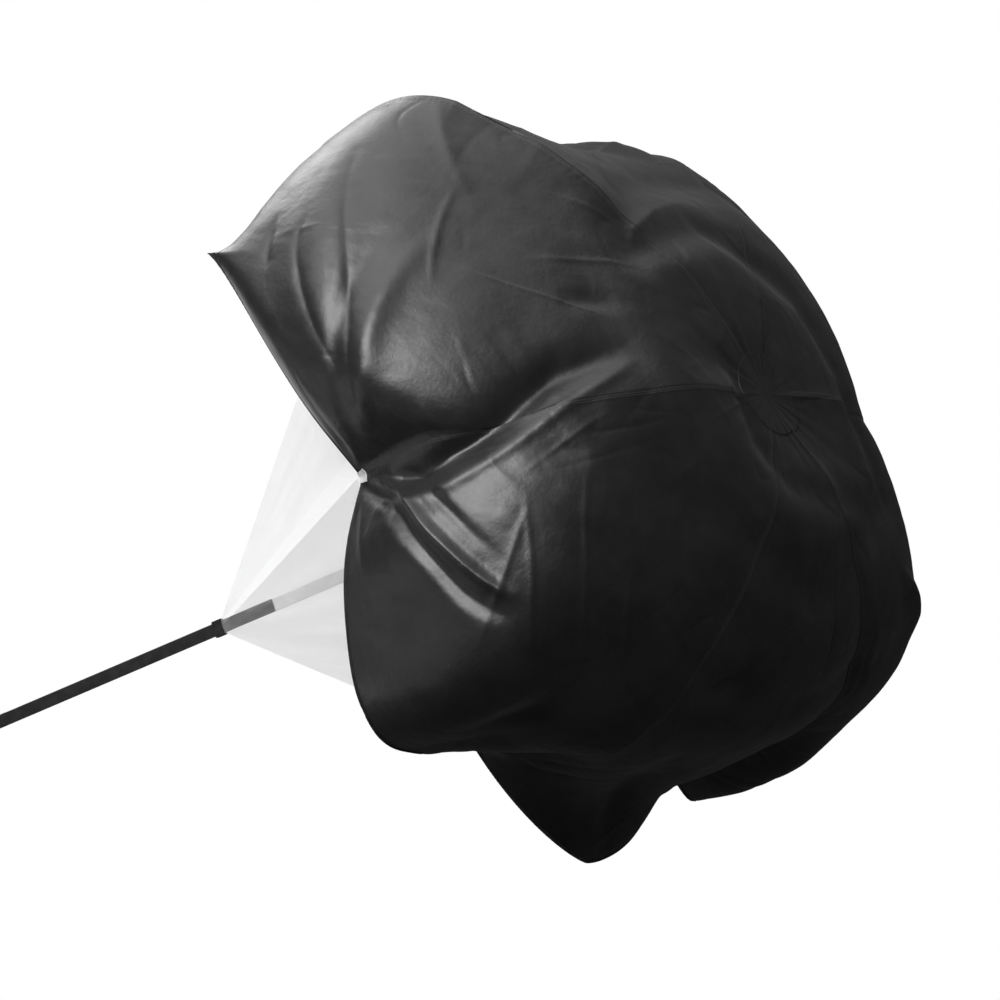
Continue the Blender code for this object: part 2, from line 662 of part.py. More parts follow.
def make_adjuster(look, frame):
    """Sleeve that the strap runs through, with a slot and a bar for the belt's end."""
    low_out = -FOLD_RADIUS - BAR / 2
    along = (-ADJUSTER_BAR - BAR / 2, -ADJUSTER_PLACE)
    sleeve_along = (-ADJUSTER_PLACE - TUNNEL_LENGTH, -ADJUSTER_PLACE)
    high_out = STRAP_OUT + BELT_WALL / 2 + GAP + BUCKLE_WALL
    plate = belt_box("strap_adjuster", (low_out, low_out + BAR), along, FRAME_WIDTH / 2, look, frame)
    sleeve = belt_box("adjuster_sleeve", (low_out, high_out), sleeve_along, FRAME_WIDTH / 2, look, frame)
    combine(plate, sleeve, "UNION")
    width = BELT_WIDTH / 2 + BELT_CLEARANCE / 2
    tunnel_out = (STRAP_OUT - BELT_WALL / 2 - GAP, STRAP_OUT + BELT_WALL / 2 + GAP)
    tunnel_along = (sleeve_along[0] - OVERRUN, sleeve_along[1] + OVERRUN)
    tunnel = belt_box("adjuster_tunnel", tunnel_out, tunnel_along, width, look, frame)
    combine(plate, tunnel, "DIFFERENCE")
    slot = (-ADJUSTER_BAR + BAR / 2, sleeve_along[0])
    cut = belt_box("adjuster_slot", (low_out - OVERRUN, low_out + BAR + OVERRUN), slot, width, look, frame)
    combine(plate, cut, "DIFFERENCE")
    return plate


def main():
    clear_scene()
    taffeta = material("black_taffeta", (0.012, 0.012, 0.012), 0.45)
    binding = material("black_binding", (0.015, 0.015, 0.015), 0.7)
    net = material("white_net", (0.85, 0.85, 0.85), 0.8)
    white_web = material("white_webbing", (0.8, 0.8, 0.8), 0.75)
    black_web = material("black_webbing", (0.01, 0.01, 0.01), 0.75)
    plastic = material("black_plastic", (0.015, 0.015, 0.015), 0.4)
    steel = material("ring_steel", (0.4, 0.4, 0.41), 0.3, 1.0)

    frame = bpy.data.objects.new("tow_frame", None)
    bpy.context.collection.objects.link(frame)
    frame.rotation_euler = (0.0, -TOW_RISE, 0.0)

    for number in range(GORES):
        make_gore(number, taffeta, frame)
        make_rim_tab(number, white_web, frame)
        make_net(number, net, frame)
    make_hem(binding, frame)
    make_crown("crown_patch", PATCH_WIDTH, -PATCH_WALL / 2, PATCH_WALL, binding, frame)
    below = -PATCH_WALL / 2 - GAP - ANCHOR_WALL
    make_crown("crown_anchor", ANCHOR_WIDTH, below, ANCHOR_WALL, white_web, frame)
    make_collar(binding, frame)
    make_straps((black_web, white_web), frame)
    make_tow_loop(black_web, frame)
    make_ring(steel, frame)
    make_belt(black_web, frame)
    make_adjuster(plastic, frame)
    make_adjuster_strap(black_web, frame)
    make_female(plastic, frame)
    make_male(plastic, frame)
    make_release_arm("release_tab_upper", 1, plastic, frame)
    make_release_arm("release_tab_lower", -1, plastic, frame)


main()
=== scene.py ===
"""Looks of the speed parachute: crumpled taffeta canopy, net, webbing, belt and buckle.

Soft pieces are drawn along the line of pull, as the solids are: x runs downwind along the tow strap,
z is square to it and up, and -y is towards the side that shows. TOW_RISE then raises that line.
"""

import math

import bmesh
import bpy
import numpy as np
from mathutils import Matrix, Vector


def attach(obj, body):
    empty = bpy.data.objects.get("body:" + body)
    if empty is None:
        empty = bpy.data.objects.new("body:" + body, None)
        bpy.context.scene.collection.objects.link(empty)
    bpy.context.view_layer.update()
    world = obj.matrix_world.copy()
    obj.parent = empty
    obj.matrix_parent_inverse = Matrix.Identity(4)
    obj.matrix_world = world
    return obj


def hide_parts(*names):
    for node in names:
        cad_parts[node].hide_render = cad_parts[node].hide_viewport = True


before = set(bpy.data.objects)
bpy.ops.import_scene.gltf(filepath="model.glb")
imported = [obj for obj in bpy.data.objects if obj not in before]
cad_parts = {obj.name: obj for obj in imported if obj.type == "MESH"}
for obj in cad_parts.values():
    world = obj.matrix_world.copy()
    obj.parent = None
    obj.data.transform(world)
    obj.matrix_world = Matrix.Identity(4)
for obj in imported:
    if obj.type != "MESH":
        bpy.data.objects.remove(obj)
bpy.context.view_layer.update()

MM = 0.001
TURN = 2 * math.pi
GAP = 0.3 * MM
TOW_RISE = math.radians(20.3)

# Camera: level, 30 degrees round from square to the tow strap
PICTURE = 1000
PIXEL = 1.85 * MM
VIEW_TURN = math.radians(30)
LENS = 400.0
SENSOR = 36.0
VIEW_CENTRE = (0.53105, 0.2424)
VIEW_DEPTH = 0.45

# Canopy sizes, as in the solids
GORES = 6
FIRST_SEAM = math.radians(27)
CANOPY_RADIUS = 740 * MM
CANOPY_DEPTH = 655 * MM
MOUTH_DISTANCE = 640 * MM
GORE_LENGTH = 950 * MM
HEM_WIDTH = 12 * MM
HEM_WALL = 2.0 * MM
PATCH_WIDTH = 55 * MM
PATCH_WALL = 2.0 * MM
ANCHOR_WIDTH = 30 * MM
ANCHOR_WALL = 1.5 * MM
TAB_LENGTH = 33 * MM
TAB_WIDTH = 13 * MM

# Cloth and sewing of the canopy, which only the looks have
GORE_GRID = (236, 190)
CLOTH_WALL = 0.35 * MM
SEAM_LAP = 6 * MM
FELL_WIDTH = 10 * MM
FELL_RISE = 0.6 * MM
PUCKER_HEIGHT = 0.35 * MM
PUCKER_PITCH = 11 * MM
HEM_STATIONS = 1320
PATCH_GRID = (26, 160)
TAB_GRID = (34, 17)
GATHER_HEIGHT = 0.6 * MM

# Lines from hem to crown as shares of the canopy's depth and radius: first the seams, then the middles
# of the gores between them. All end at the crown.
CROWN_DEPTH_SHARE = 0.94
SEAM_SHARES = (
    ((0.10, 0.83), (0.22, 1.05), (0.50, 1.05), (0.73, 0.82), (0.92, 0.40)),
    ((0.13, 0.83), (0.28, 0.92), (0.50, 0.94), (0.74, 0.76), (0.96, 0.38)),
    ((-0.08, 0.67), (0.18, 0.82), (0.46, 0.92), (0.72, 0.76), (0.96, 0.38)),
    ((0.05, 0.77), (0.20, 0.78), (0.44, 0.84), (0.74, 0.74), (0.97, 0.38)),
    ((0.04, 0.80), (0.26, 0.94), (0.54, 0.95), (0.77, 0.76), (0.95, 0.38)),
    ((0.06, 0.84), (0.16, 1.11), (0.44, 1.00), (0.69, 0.82), (0.91, 0.42)),
)
GORE_SHARES = (
    ((-0.08, 1.12), (0.08, 1.09), (0.34, 1.04), (0.64, 0.80), (0.92, 0.40)),
    ((-0.06, 0.95), (0.18, 1.00), (0.46, 0.98), (0.74, 0.78), (0.96, 0.38)),
    ((0.01, 0.95), (0.14, 0.83), (0.38, 0.82), (0.72, 0.76), (0.97, 0.38)),
    ((-0.08, 1.08), (0.20, 1.13), (0.50, 1.05), (0.76, 0.89), (0.94, 0.45)),
    ((0.00, 0.96), (0.24, 1.02), (0.52, 0.99), (0.77, 0.79), (0.93, 0.40)),
    ((0.12, 0.92), (0.22, 0.90), (0.38, 0.85), (0.64, 0.74), (0.92, 0.40)),
)
# Where each gore's top lies between its seams at the hem, and how full the lobe is there
PEAK_SHARES = (0.40, 0.64, 0.44, 0.30, 0.5, 0.5)
LOBE_POWERS = (0.72, 1.8, 1.35, 1.1, 1.6, 1.6)
ROUND_POWER = 2.0

# Folds: height and half width in mm, how sharp the ridge is from 0 to 1, and where it runs in
# (share of the way to the crown, gores round). MAIN_FOLDS are seven of the solids' nine, the first, fourth
# and fifth lower. The third and fourth of CREASES are the other two, narrower and longer. The rest is only here.
MAIN_FOLDS = (
    (-24, 40, 0, ((0.12, 1.06), (0.39, 1.05), (0.51, 1.01), (0.64, 0.89), (0.73, 0.79))),
    (-18, 32, 0, ((0.19, 1.72), (0.30, 1.72), (0.41, 1.73))),
    (-16, 40, 0, ((0.60, 1.99), (0.60, 2.30), (0.61, 3.48))),
    (6, 40, 0, ((0.52, 0.46), (0.41, 0.70), (0.29, 0.94))),
    (-5, 40, 0, ((0.39, 0.18), (0.42, 0.49), (0.37, 0.70))),
    (-12, 40, 0, ((0.83, 0.76), (0.93, 0.95), (0.77, 3.94))),
    (-18, 50, 0, ((0.70, 0.43), (0.76, 5.97), (0.61, 4.74))),
)
BROAD_FOLDS = (
    (54, 115, 0, ((-0.04, 1.58), (0.20, 1.58), (0.40, 1.52), (0.58, 1.40))),
    (-22, 55, 0, ((0.00, 1.79), (0.18, 1.80), (0.38, 1.76))),
    (24, 46, 1, ((0.57, 3.45), (0.63, 3.43), (0.69, 3.41))),
    (32, 60, 0, ((0.44, 3.10), (0.24, 3.13), (-0.06, 3.19))),
    (-26, 55, 0, ((0.44, 2.20), (0.28, 2.42), (0.10, 2.52))),
    (-10, 60, 0, ((0.46, 0.02), (0.60, 0.02))),
    (22, 48, 0, ((0.38, 5.30), (0.48, 5.21), (0.53, 5.07))),
    (-40, 112, 0, ((0.00, 1.00), (0.25, 1.06), (0.45, 1.04), (0.62, 0.92))),
)
CREASES = (
    (-12, 20, 0, ((0.05, 1.01), (0.24, 1.045), (0.39, 1.05), (0.51, 1.01), (0.64, 0.89), (0.72, 0.80))),
    (8, 15, 0, ((0.12, 1.10), (0.30, 1.12), (0.42, 1.12), (0.55, 1.07), (0.67, 0.96), (0.73, 0.86))),
    (20, 12, 0.3, ((0.04, 1.00), (0.22, 1.08), (0.33, 1.225), (0.40, 1.37), (0.43, 1.43))),
    (-13, 15, 0, ((0.03, 1.02), (0.19, 1.11), (0.30, 1.26), (0.37, 1.40), (0.41, 1.47))),
    (-7, 13, 0, ((0.07, 0.99), (0.25, 1.045), (0.37, 1.18), (0.44, 1.34))),
    (4, 8, 1, ((0.54, 0.27), (0.53, 0.43), (0.52, 0.59))),
    (-5, 10, 1, ((0.24, 0.36), (0.23, 0.43), (0.22, 0.49))),
    (-4, 13, 1, ((0.32, 0.38), (0.30, 0.48), (0.29, 0.78))),
    (-4, 13, 1, ((0.37, 0.20), (0.40, 0.50), (0.36, 0.72), (0.22, 0.93))),
    (7, 30, 1, ((0.43, 0.01), (0.46, 0.07), (0.52, 0.19), (0.56, 0.28))),
    (6, 22, 0, ((0.52, 0.46), (0.44, 0.64), (0.34, 0.82), (0.16, 0.97))),
    (-6, 22, 0, ((0.47, 0.40), (0.40, 0.58), (0.30, 0.76), (0.16, 0.93))),
    (-6, 22, 0, ((0.67, 0.59), (0.74, 0.54))),
    (-6, 20, 0, ((0.66, 0.81), (0.60, 0.95))),
    (-6, 22, 0, ((0.56, 1.12), (0.63, 1.18))),
    (3, 7, 1, ((0.51, 1.27), (0.44, 1.38), (0.35, 1.50))),
    (3, 6, 1, ((0.52, 1.23), (0.48, 1.40), (0.42, 1.56))),
    (3, 6, 1, ((0.62, 1.23), (0.55, 1.48), (0.46, 1.72))),
    (3, 7, 1, ((0.61, 1.57), (0.57, 1.67), (0.52, 1.78))),
    (-7, 20, 1, ((0.55, 2.06), (0.60, 2.15), (0.65, 2.24))),
    (6, 22, 0, ((0.47, 2.09), (0.26, 2.60), (0.05, 3.12))),
    (-6, 18, 1, ((0.42, 2.23), (0.49, 1.91), (0.55, 1.58))),
    (4, 9, 1, ((0.67, 5.79), (0.56, 5.40), (0.46, 5.00))),
    (-5, 12, 1, ((0.46, 5.00), (0.56, 4.90), (0.65, 4.78))),
)

# Soft unevenness: seed, number of waves, longest and shortest in metres, height in mm
WAVES = ((3, 9, 0.34, 0.12, 2.0), (5, 12, 0.09, 0.026, 0.6))


def grid(rows, columns):
    return np.meshgrid(rows, columns, indexing="ij")


def raised(points):
    """Points of the tow frame turned up by TOW_RISE about y, into the world."""
    x, y, z = np.moveaxis(np.asarray(points, float), -1, 0)
    s, c = math.sin(TOW_RISE), math.cos(TOW_RISE)
    return np.stack([x * c - z * s, y, x * s + z * c], -1)


def unit(vectors):
    return vectors / np.linalg.norm(vectors, axis=-1, keepdims=True)


def walk(points, axis=0):
    """Distance from the first point along a line, or along each line of a grid: the running sum of the steps."""
    steps = np.linalg.norm(np.diff(points, axis=axis), axis=-1)
    return np.concatenate([np.zeros_like(steps.take([0], axis)), np.cumsum(steps, axis)], axis)


def squarer(wave, power):
    """sign(w) |w| ** power: a round wave made squarer, as the power goes down from 1."""
    return np.sign(wave) * np.abs(wave) ** power


def spline(points, place):
    """Catmull-Rom curve: half of 2b + (c - a) f + (2a - 5b + 4c - d) f**2 + (3b - a - 3c + d) f**3, where f is the
    part of the way from point b to point c, and a and d are their neighbours."""
    i = place.astype(int)
    f = (place - i)[..., None]
    a, b, c, d = (points[i + k] for k in range(4))
    square = (2 * a - 5 * b + 4 * c - d) * f**2
    cube = (3 * b - a - 3 * c + d) * f**3
    return 0.5 * (2 * b + (c - a) * f + square + cube)


def meridian(points, share):
    """Curve from hem to crown through points of (depth, radius), read at a share of its way. Past the crown it goes
    on as its mirror image, so that the crown is round."""
    last = len(points) - 1
    before = 2 * points[:1] - points[1:2]
    after = points[-2:-1] * np.array([1, -1])
    place = np.clip(share * last, 0, last * (1 - 1e-9))
    return spline(np.concatenate([before, points, after]), place)


def fold_line(stations):
    """Curve through a fold's few (share, turn) stations, six steps from each to the next."""
    p = np.array(stations, float)
    p = np.concatenate([2 * p[:1] - p[1:2], p, 2 * p[-1:] - p[-2:-1]])
    gaps = len(stations) - 1
    return spline(p, np.linspace(0, gaps, 6 * gaps + 1) * (1 - 1e-9))


def picked(stack, index):
    return np.take_along_axis(stack, index[None, ..., None], 0)[0]


def smooth_canopy(share, turn):
    """Canopy without folds: straight across from seam to seam, plus 1 - |even - 1| ** power of the lift that the
    gore's middle line has, where even runs 0, 1, 2 from seam to top to seam. Peak and power ease to a plain round
    lobe away from the hem."""
    share, turn = np.broadcast_arrays(np.asarray(share, float), np.asarray(turn, float))
    rows = [np.array((*row, (CROWN_DEPTH_SHARE, 0.0))) for row in SEAM_SHARES + GORE_SHARES]
    lines = np.stack([meridian(row, share) for row in rows])
    gore = np.floor(turn).astype(int) % GORES
    across = turn - np.floor(turn)
    left = picked(lines, gore)
    right = picked(lines, (gore + 1) % GORES)
    middle = picked(lines, gore + GORES)
    peak = np.array(PEAK_SHARES)[gore]
    peak = peak + (0.5 - peak) * np.minimum(1, 2 * share)
    power = np.array(LOBE_POWERS)[gore]
    power = power + (ROUND_POWER - power) * np.minimum(1, 3 * share)
    even = np.where(across < peak, across / peak, 1 + (across - peak) / (1 - peak))
    bulge = (1 - np.abs(even - 1) ** power)[..., None]
    out = left + (right - left) * across[..., None] + bulge * (middle - (left + right) / 2)
    bearing = FIRST_SEAM + turn * TURN / GORES
    along = MOUTH_DISTANCE + CANOPY_DEPTH * out[..., 0]
    radius = CANOPY_RADIUS * out[..., 1]
    return np.stack([along, -radius * np.sin(bearing), radius * np.cos(bearing)], -1)


def outward(share, turn, step=0.004):
    """Outward unit normals of the smooth canopy: the cross product of a step round and a step up."""
    share = np.clip(share, 0.01, 0.985)
    up = smooth_canopy(share + step, turn) - smooth_canopy(share - step, turn)
    side = smooth_canopy(share, turn + step) - smooth_canopy(share, turn - step)
    return unit(np.cross(side, up))


def fold_lift(points, fold):
    """One fold by the distance d from its line, in half widths: a bell exp(-d**2), mixed by its sharpness with a
    crease 1.63 exp(-1.3 r) (1 - 0.35 d) out to d = 2.9, where r**2 = d**2 + 0.14. The line's ends fade as
    sin(pi s) ** 0.8."""
    tall, wide, sharp, stations = fold
    width = wide * MM
    at = smooth_canopy(*fold_line(stations).T)
    middle = at.mean(0)
    reach = np.linalg.norm(at - middle, axis=1).max() + 3.2 * width
    every = points.reshape(-1, 3)
    near = np.nonzero(((every - middle) ** 2).sum(1) < reach**2)[0]
    p = every[near]
    best = np.full(len(near), np.inf)
    where = np.zeros(len(near))
    last = len(at) - 1
    for k in range(last):
        step = at[k + 1] - at[k]
        t = np.clip(((p - at[k]) @ step) / (step @ step), 0, 1)
        away = ((p - at[k] - t[:, None] * step) ** 2).sum(1)
        closer = away < best
        best = np.where(closer, away, best)
        where = np.where(closer, (k + t) / last, where)
    d = np.sqrt(best) / width
    bell = np.exp(-(d**2))
    crease = 1.63 * np.exp(-1.3 * np.sqrt(d**2 + 0.14)) * (1 - 0.35 * d) * (d < 2.9)
    fade = np.sin(math.pi * (0.04 + 0.92 * where)) ** 0.8
    lift = np.zeros(len(every))
    lift[near] = tall * MM * fade * (bell * (1 - sharp) + crease * sharp)
    return lift.reshape(points.shape[:-1])


def small_folds(seed):
    """Pulls that run out from each hem corner, pleats along the seams and loose creases, as rows like CREASES."""
    draw = np.random.default_rng(seed)
    made = []

    def add(low, high, narrow, wide, sharp, *line):
        height = draw.uniform(low, high) * draw.choice((-1, 1))
        made.append((height, draw.uniform(narrow, wide), sharp, line))

    for seam in range(GORES):
        for k in range(6):
            side = -1 if k % 2 else 1
            end_turn = seam + side * draw.uniform(0.08, 0.42)
            end = draw.uniform(0.12, 0.46)
            bend = draw.uniform(-0.03, 0.03)
            halfway = (0.45 * end + bend, seam + side * 0.35 * abs(end_turn - seam))
            add(0.8, 2.2, 8, 16, 0.6, (0.015, seam + side * 0.015), halfway, (end, end_turn))
        for k in range(16):
            share = 0.10 + 0.82 * (k + draw.uniform(0.1, 0.9)) / 16
            side = draw.choice((-1, 1))
            reach = draw.uniform(0.05, 0.16) / (1.15 - share)
            halfway = (share + draw.uniform(-0.02, 0.02), seam + side * 0.5 * reach)
            end = (share + draw.uniform(-0.05, 0.05), seam + side * reach)
            add(0.7, 1.9, 4, 9, 0.7, (share, seam + side * 0.01), halfway, end)
    for _ in range(70):
        share = draw.uniform(0.05, 0.9)
        turn = draw.uniform(0, GORES)
        lean = draw.uniform(0, math.pi)
        reach = draw.uniform(0.03, 0.10)
        along, round_it = reach * math.cos(lean), 1.2 * reach * math.sin(lean)
        halfway = (share + draw.uniform(-0.01, 0.01), turn + draw.uniform(-0.01, 0.01))
        add(0.6, 1.8, 4, 9, 0.8, (share - along, turn - round_it), halfway, (share + along, turn + round_it))
    return tuple(made)


FOLDS = MAIN_FOLDS + BROAD_FOLDS + CREASES + small_folds(7)


def waves(points, seed, count, longest, shortest, height):
    """Soft unevenness: a sum of sine waves in random directions, each as high as it is long."""
    draw = np.random.default_rng(seed)
    total = np.zeros(points.shape[:-1])
    for k in range(count):
        way = draw.normal(size=3)
        way /= np.linalg.norm(way)
        long = longest * (shortest / longest) ** (k / (count - 1))
        bend = draw.normal(size=3) * 0.6
        phase = draw.uniform(0, TURN)
        warp = 0.35 * long * np.sin(points @ (bend / long) + phase)
        total += height * (long / longest) * np.sin(TURN * ((points @ way + warp) / long) + phase)
    return total / math.sqrt(count)


def cloth_lift(base, share, turn):
    """How far the cloth stands off the smooth canopy: folds, soft waves, and gathers that two sines make round the
    crown."""
    lift = np.zeros(base.shape[:-1])
    for fold in FOLDS:
        lift += fold_lift(base, fold)
    calm = np.clip((share - 0.01) / 0.06, 0, 1) * np.clip((0.955 - share) / 0.05, 0, 1)
    for *shape, height in WAVES:
        lift += calm * waves(base, *shape, height * MM)
    to_crown = np.clip((share - 0.78) / 0.16, 0, 1) * np.clip((0.99 - share) / 0.03, 0, 1)
    gathers = 0.6 * np.sin(turn * TURN * 3 + 2 * np.sin(turn * 2.1)) + 0.4 * np.sin(turn * TURN * 5 + 1.3)
    return lift + to_crown * gathers * GATHER_HEIGHT


def cloth(share, turn):
    """The cloth's middle layer, as points and outward normals."""
    share, turn = np.broadcast_arrays(np.asarray(share, float), np.asarray(turn, float))
    base = smooth_canopy(share, turn)
    out = outward(share, turn)
    return base + cloth_lift(base, share, turn)[..., None] * out, out


# Meshes


def added(name, data):
    """A new object, in the scene."""
    made = bpy.data.objects.new(name, data)
    bpy.context.collection.objects.link(made)
    return made


def meshed(name, points, faces, look, flat=None, sharp=50):
    """A closed piece from points of the tow frame: doubles merged, faces outward, smooth but for edges over an angle.
    flat gives each face corner's place on the flat cloth, as the UV map."""
    mesh = bpy.data.meshes.new(name)
    mesh.from_pydata(raised(points).tolist(), [], faces)
    if flat is not None:
        cloth_map = mesh.uv_layers.new(name="flat")
        cloth_map.data.foreach_set("uv", flat.ravel().astype(np.float32))
    tidy = bmesh.new()
    tidy.from_mesh(mesh)
    bmesh.ops.remove_doubles(tidy, verts=tidy.verts, dist=1e-6)
    if tidy.calc_volume(signed=True) < 0:
        bmesh.ops.reverse_faces(tidy, faces=tidy.faces)
    tidy.to_mesh(mesh)
    tidy.free()
    mesh.validate()
    mesh.shade_smooth()
    mesh.set_sharp_from_angle(angle=math.radians(sharp))
    mesh.materials.append(look)
    return added(name, mesh)


def skin(name, middle, out, wall, flat, look, wrap=False):
    """A sheet of some wall thickness round a grid of middle points with outward normals, closed along its edges.

    flat gives each grid point's place on the flat cloth in metres, as the UV map; with wrap its grid has
    one more column than the points, because the last column joins the first.
    """
    rows, columns = middle.shape[:2]
    cells = columns if wrap else columns - 1
    i, j = (v.ravel() for v in grid(np.arange(rows - 1), np.arange(cells)))

    def corners(width):
        """Numbers of the four points round each cell, in a grid so many columns wide."""
        here, there = i * width + j, i * width + (j + 1) % width
        return np.stack([here, there, there + width, here + width], 1)

    quads, places = corners(columns), corners(flat.shape[1])
    layer = rows * columns
    faces = [quads, layer + quads[:, ::-1]]
    on_flat = [places, places[:, ::-1]]
    edges = [(i == 0, 1, 0), (i == rows - 2, 3, 2)]
    if not wrap:
        edges += [(j == 0, 0, 3), (j == cells - 1, 2, 1)]
    for edge, first, second in edges:
        p, q = quads[edge, first], quads[edge, second]
        faces.append(np.stack([p, q, layer + q, layer + p], 1))
        p, q = places[edge, first], places[edge, second]
        on_flat.append(np.stack([p, q, q, p], 1))
    points = np.concatenate([(middle + side * out * wall / 2).reshape(-1, 3) for side in (1, -1)])
    flat = flat.reshape(-1, 2)[np.concatenate(on_flat)]
    return meshed(name, points, np.concatenate(faces).tolist(), look, flat)


def tube(name, rings, along, across, look, closed=False):
    """A tube through rings of points (stations, steps round); closed joins its ends, else they get caps."""
    stations, steps = rings.shape[:2]
    i, j = (v.ravel() for v in grid(np.arange(stations if closed else stations - 1), np.arange(steps)))
    ni, nj = (i + 1) % stations, (j + 1) % steps
    faces = np.stack([i * steps + j, ni * steps + j, ni * steps + nj, i * steps + nj], 1).tolist()
    across = np.append(across, across[0])
    u = np.stack([along[i], along[i + 1], along[i + 1], along[i]], 1)
    v = np.stack([across[j], across[j], across[j + 1], across[j + 1]], 1)
    flat = np.stack([u, v], -1).reshape(-1, 2)
    if not closed:
        last = (stations - 1) * steps
        faces += [list(range(steps)), list(range(last + steps - 1, last - 1, -1))]
        ends = np.zeros((2, steps, 2))
        ends[:, :, 1] = across[:-1], across[-2::-1]
        ends[1, :, 0] = along[-1]
        flat = np.concatenate([flat, ends.reshape(-1, 2)])
    return meshed(name, rings.reshape(-1, 3), faces, look, flat)


def dressed(piece, body, slot, *nodes):
    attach(piece, body)
    if nodes:
        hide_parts(*nodes)
    return piece


# Materials


def both_ways(operation):
    """A sum or product of a socket with a number or a socket on its right, and on its left."""

    def forward(self, other):
        return self.maths(operation, other)

    def reflected(self, other):
        return self.look.node("ShaderNodeMath", {0: other, 1: self}, operation=operation)

    return forward, reflected


class Sock:
    """A shader socket that takes part in sums and products."""

    __add__, __radd__ = both_ways("ADD")
    __sub__, __rsub__ = both_ways("SUBTRACT")
    __mul__, __rmul__ = both_ways("MULTIPLY")
    __truediv__, __rtruediv__ = both_ways("DIVIDE")

    def __init__(self, look, socket):
        self.look = look
        self.socket = socket

    def maths(self, operation, *others):
        return self.look.node("ShaderNodeMath", dict(enumerate((self, *others))), operation=operation)

    def absolute(self):
        return self.maths("ABSOLUTE")

    def sine(self, pitch):
        """sin(2 pi x / pitch)."""
        return (self * (TURN / pitch)).maths("SINE")

    def from_middle(self, pitch):
        """How far the place in its own pitch is from the middle, from 0 to 0.5."""
        return ((self / pitch).maths("FLOORED_MODULO", 1.0) - 0.5).absolute()

    def ramp(self, low, high):
        """0 below low and 1 above high, with a soft step between."""
        values = {"Value": self, "From Min": low, "From Max": high}
        return self.look.node("ShaderNodeMapRange", values, interpolation_type="SMOOTHSTEP")


class Nodes:
    """The node tree of a material or a world, whose maths is written as expressions."""

    def __init__(self, owner):
        owner.use_nodes = True
        self.tree = owner.node_tree

    def node(self, kind, values=(), out=0, **settings):
        """Any node: its type, the values or links of its sockets, and its settings, set first."""
        made = self.tree.nodes.new(kind)
        for key, value in settings.items():
            setattr(made, key, value)
        for key, value in dict(values).items():
            if isinstance(value, Sock):
                self.tree.links.new(value.socket, made.inputs[key])
            else:
                made.inputs[key].default_value = value
        return Sock(self, made.outputs[out])

    def parts(self, kind, *names, values=()):
        """Several outputs of one node."""
        outputs = self.node(kind, values).socket.node.outputs
        return [Sock(self, outputs[name]) for name in names]

    def seen(self):
        """1 where the camera, a gloss or a clear material looks, else 0."""
        names = ("Is Camera Ray", "Is Glossy Ray", "Is Transmission Ray")
        camera, gloss, clear = self.parts("ShaderNodeLightPath", *names)
        return camera.maths("MAXIMUM", gloss).maths("MAXIMUM", clear)


class Look(Nodes):
    """A finish, as a material. Settings are constants on its shader's own sockets."""

    def __init__(self, name, **settings):
        self.material = bpy.data.materials.new(name)
        super().__init__(self.material)
        self.shader = self.tree.nodes["Principled BSDF"]
        for key, value in settings.items():
            self.shader.inputs[key.replace("_", " ")].default_value = value

    def flat(self):
        """The piece's own flat map in metres, as two numbers."""
        return self.parts("ShaderNodeSeparateXYZ", 0, 1, values={0: self.node("ShaderNodeUVMap", uv_map="flat")})

    def place(self):
        return self.node("ShaderNodeTexCoord", out="Object")

    def noise(self, scale, detail=2.0, rough=0.5):
        values = {"Scale": scale, "Detail": detail, "Roughness": rough, "Vector": self.place()}
        return self.node("ShaderNodeTexNoise", values)

    def mix(self, factor, low, high):
        low, high = ((*c, 1.0) if isinstance(c, tuple) else c for c in (low, high))
        return self.node("ShaderNodeMix", {0: factor, 6: low, 7: high}, out=2, data_type="RGBA")

    def bump(self, height, strength, distance, under=None):
        values = {"Height": height, "Strength": strength, "Distance": distance}
        if under is not None:
            values["Normal"] = under
        return self.node("ShaderNodeBump", values)

    def set(self, **links):
        for key, value in links.items():
            self.tree.links.new(value.socket, self.shader.inputs[key.replace("_", " ")])
        return self.material


def grey(level, blue=0.0):
    return (level, level, level + blue)


def stitch_line(u, v, at, pitch=3.2 * MM, width=0.9 * MM):
    """1 on the threads of a stitch line that runs along u at v = at, 0 elsewhere."""
    across = 1 - (v - at).absolute().ramp(0.35 * width, 0.5 * width)
    return across * (1 - u.from_middle(pitch).ramp(0.34, 0.44))


def taffeta_look():
    """Black plain-woven taffeta with a half gloss: a fine weave, slubs, and paler worn patches."""
    look = Look("crumpled_black_taffeta", Specular_IOR_Level=0.5, Sheen_Weight=0.05)
    u, v = look.flat()
    weave = u.sine(0.9 * MM) * v.sine(0.9 * MM)
    crumple = look.noise(34.0, 4.0, 0.6)
    coarse = look.noise(9.0, 3.0, 0.55)
    slubs = look.noise(120.0)
    thread = stitch_line(v, u, 5.0 * MM) + stitch_line(v, u, 9.0 * MM)
    bump = look.bump(weave, 0.12, 0.15 * MM)
    bump = look.bump(slubs, 0.35, 0.9 * MM, bump)
    bump = look.bump(crumple, 0.22, 4.0 * MM, bump)
    bump = look.bump(coarse, 0.16, 12.0 * MM, bump)
    bump = look.bump(thread, 0.5, 0.5 * MM, bump)
    tone = look.mix(coarse.ramp(0.3, 0.75), grey(0.006, 0.0002), grey(0.010, 0.0003))
    tone = look.mix(thread * 0.5, tone, grey(0.05))
    return look.set(Base_Color=tone, Roughness=0.31 + crumple * 0.10 + slubs * 0.06, Normal=bump)


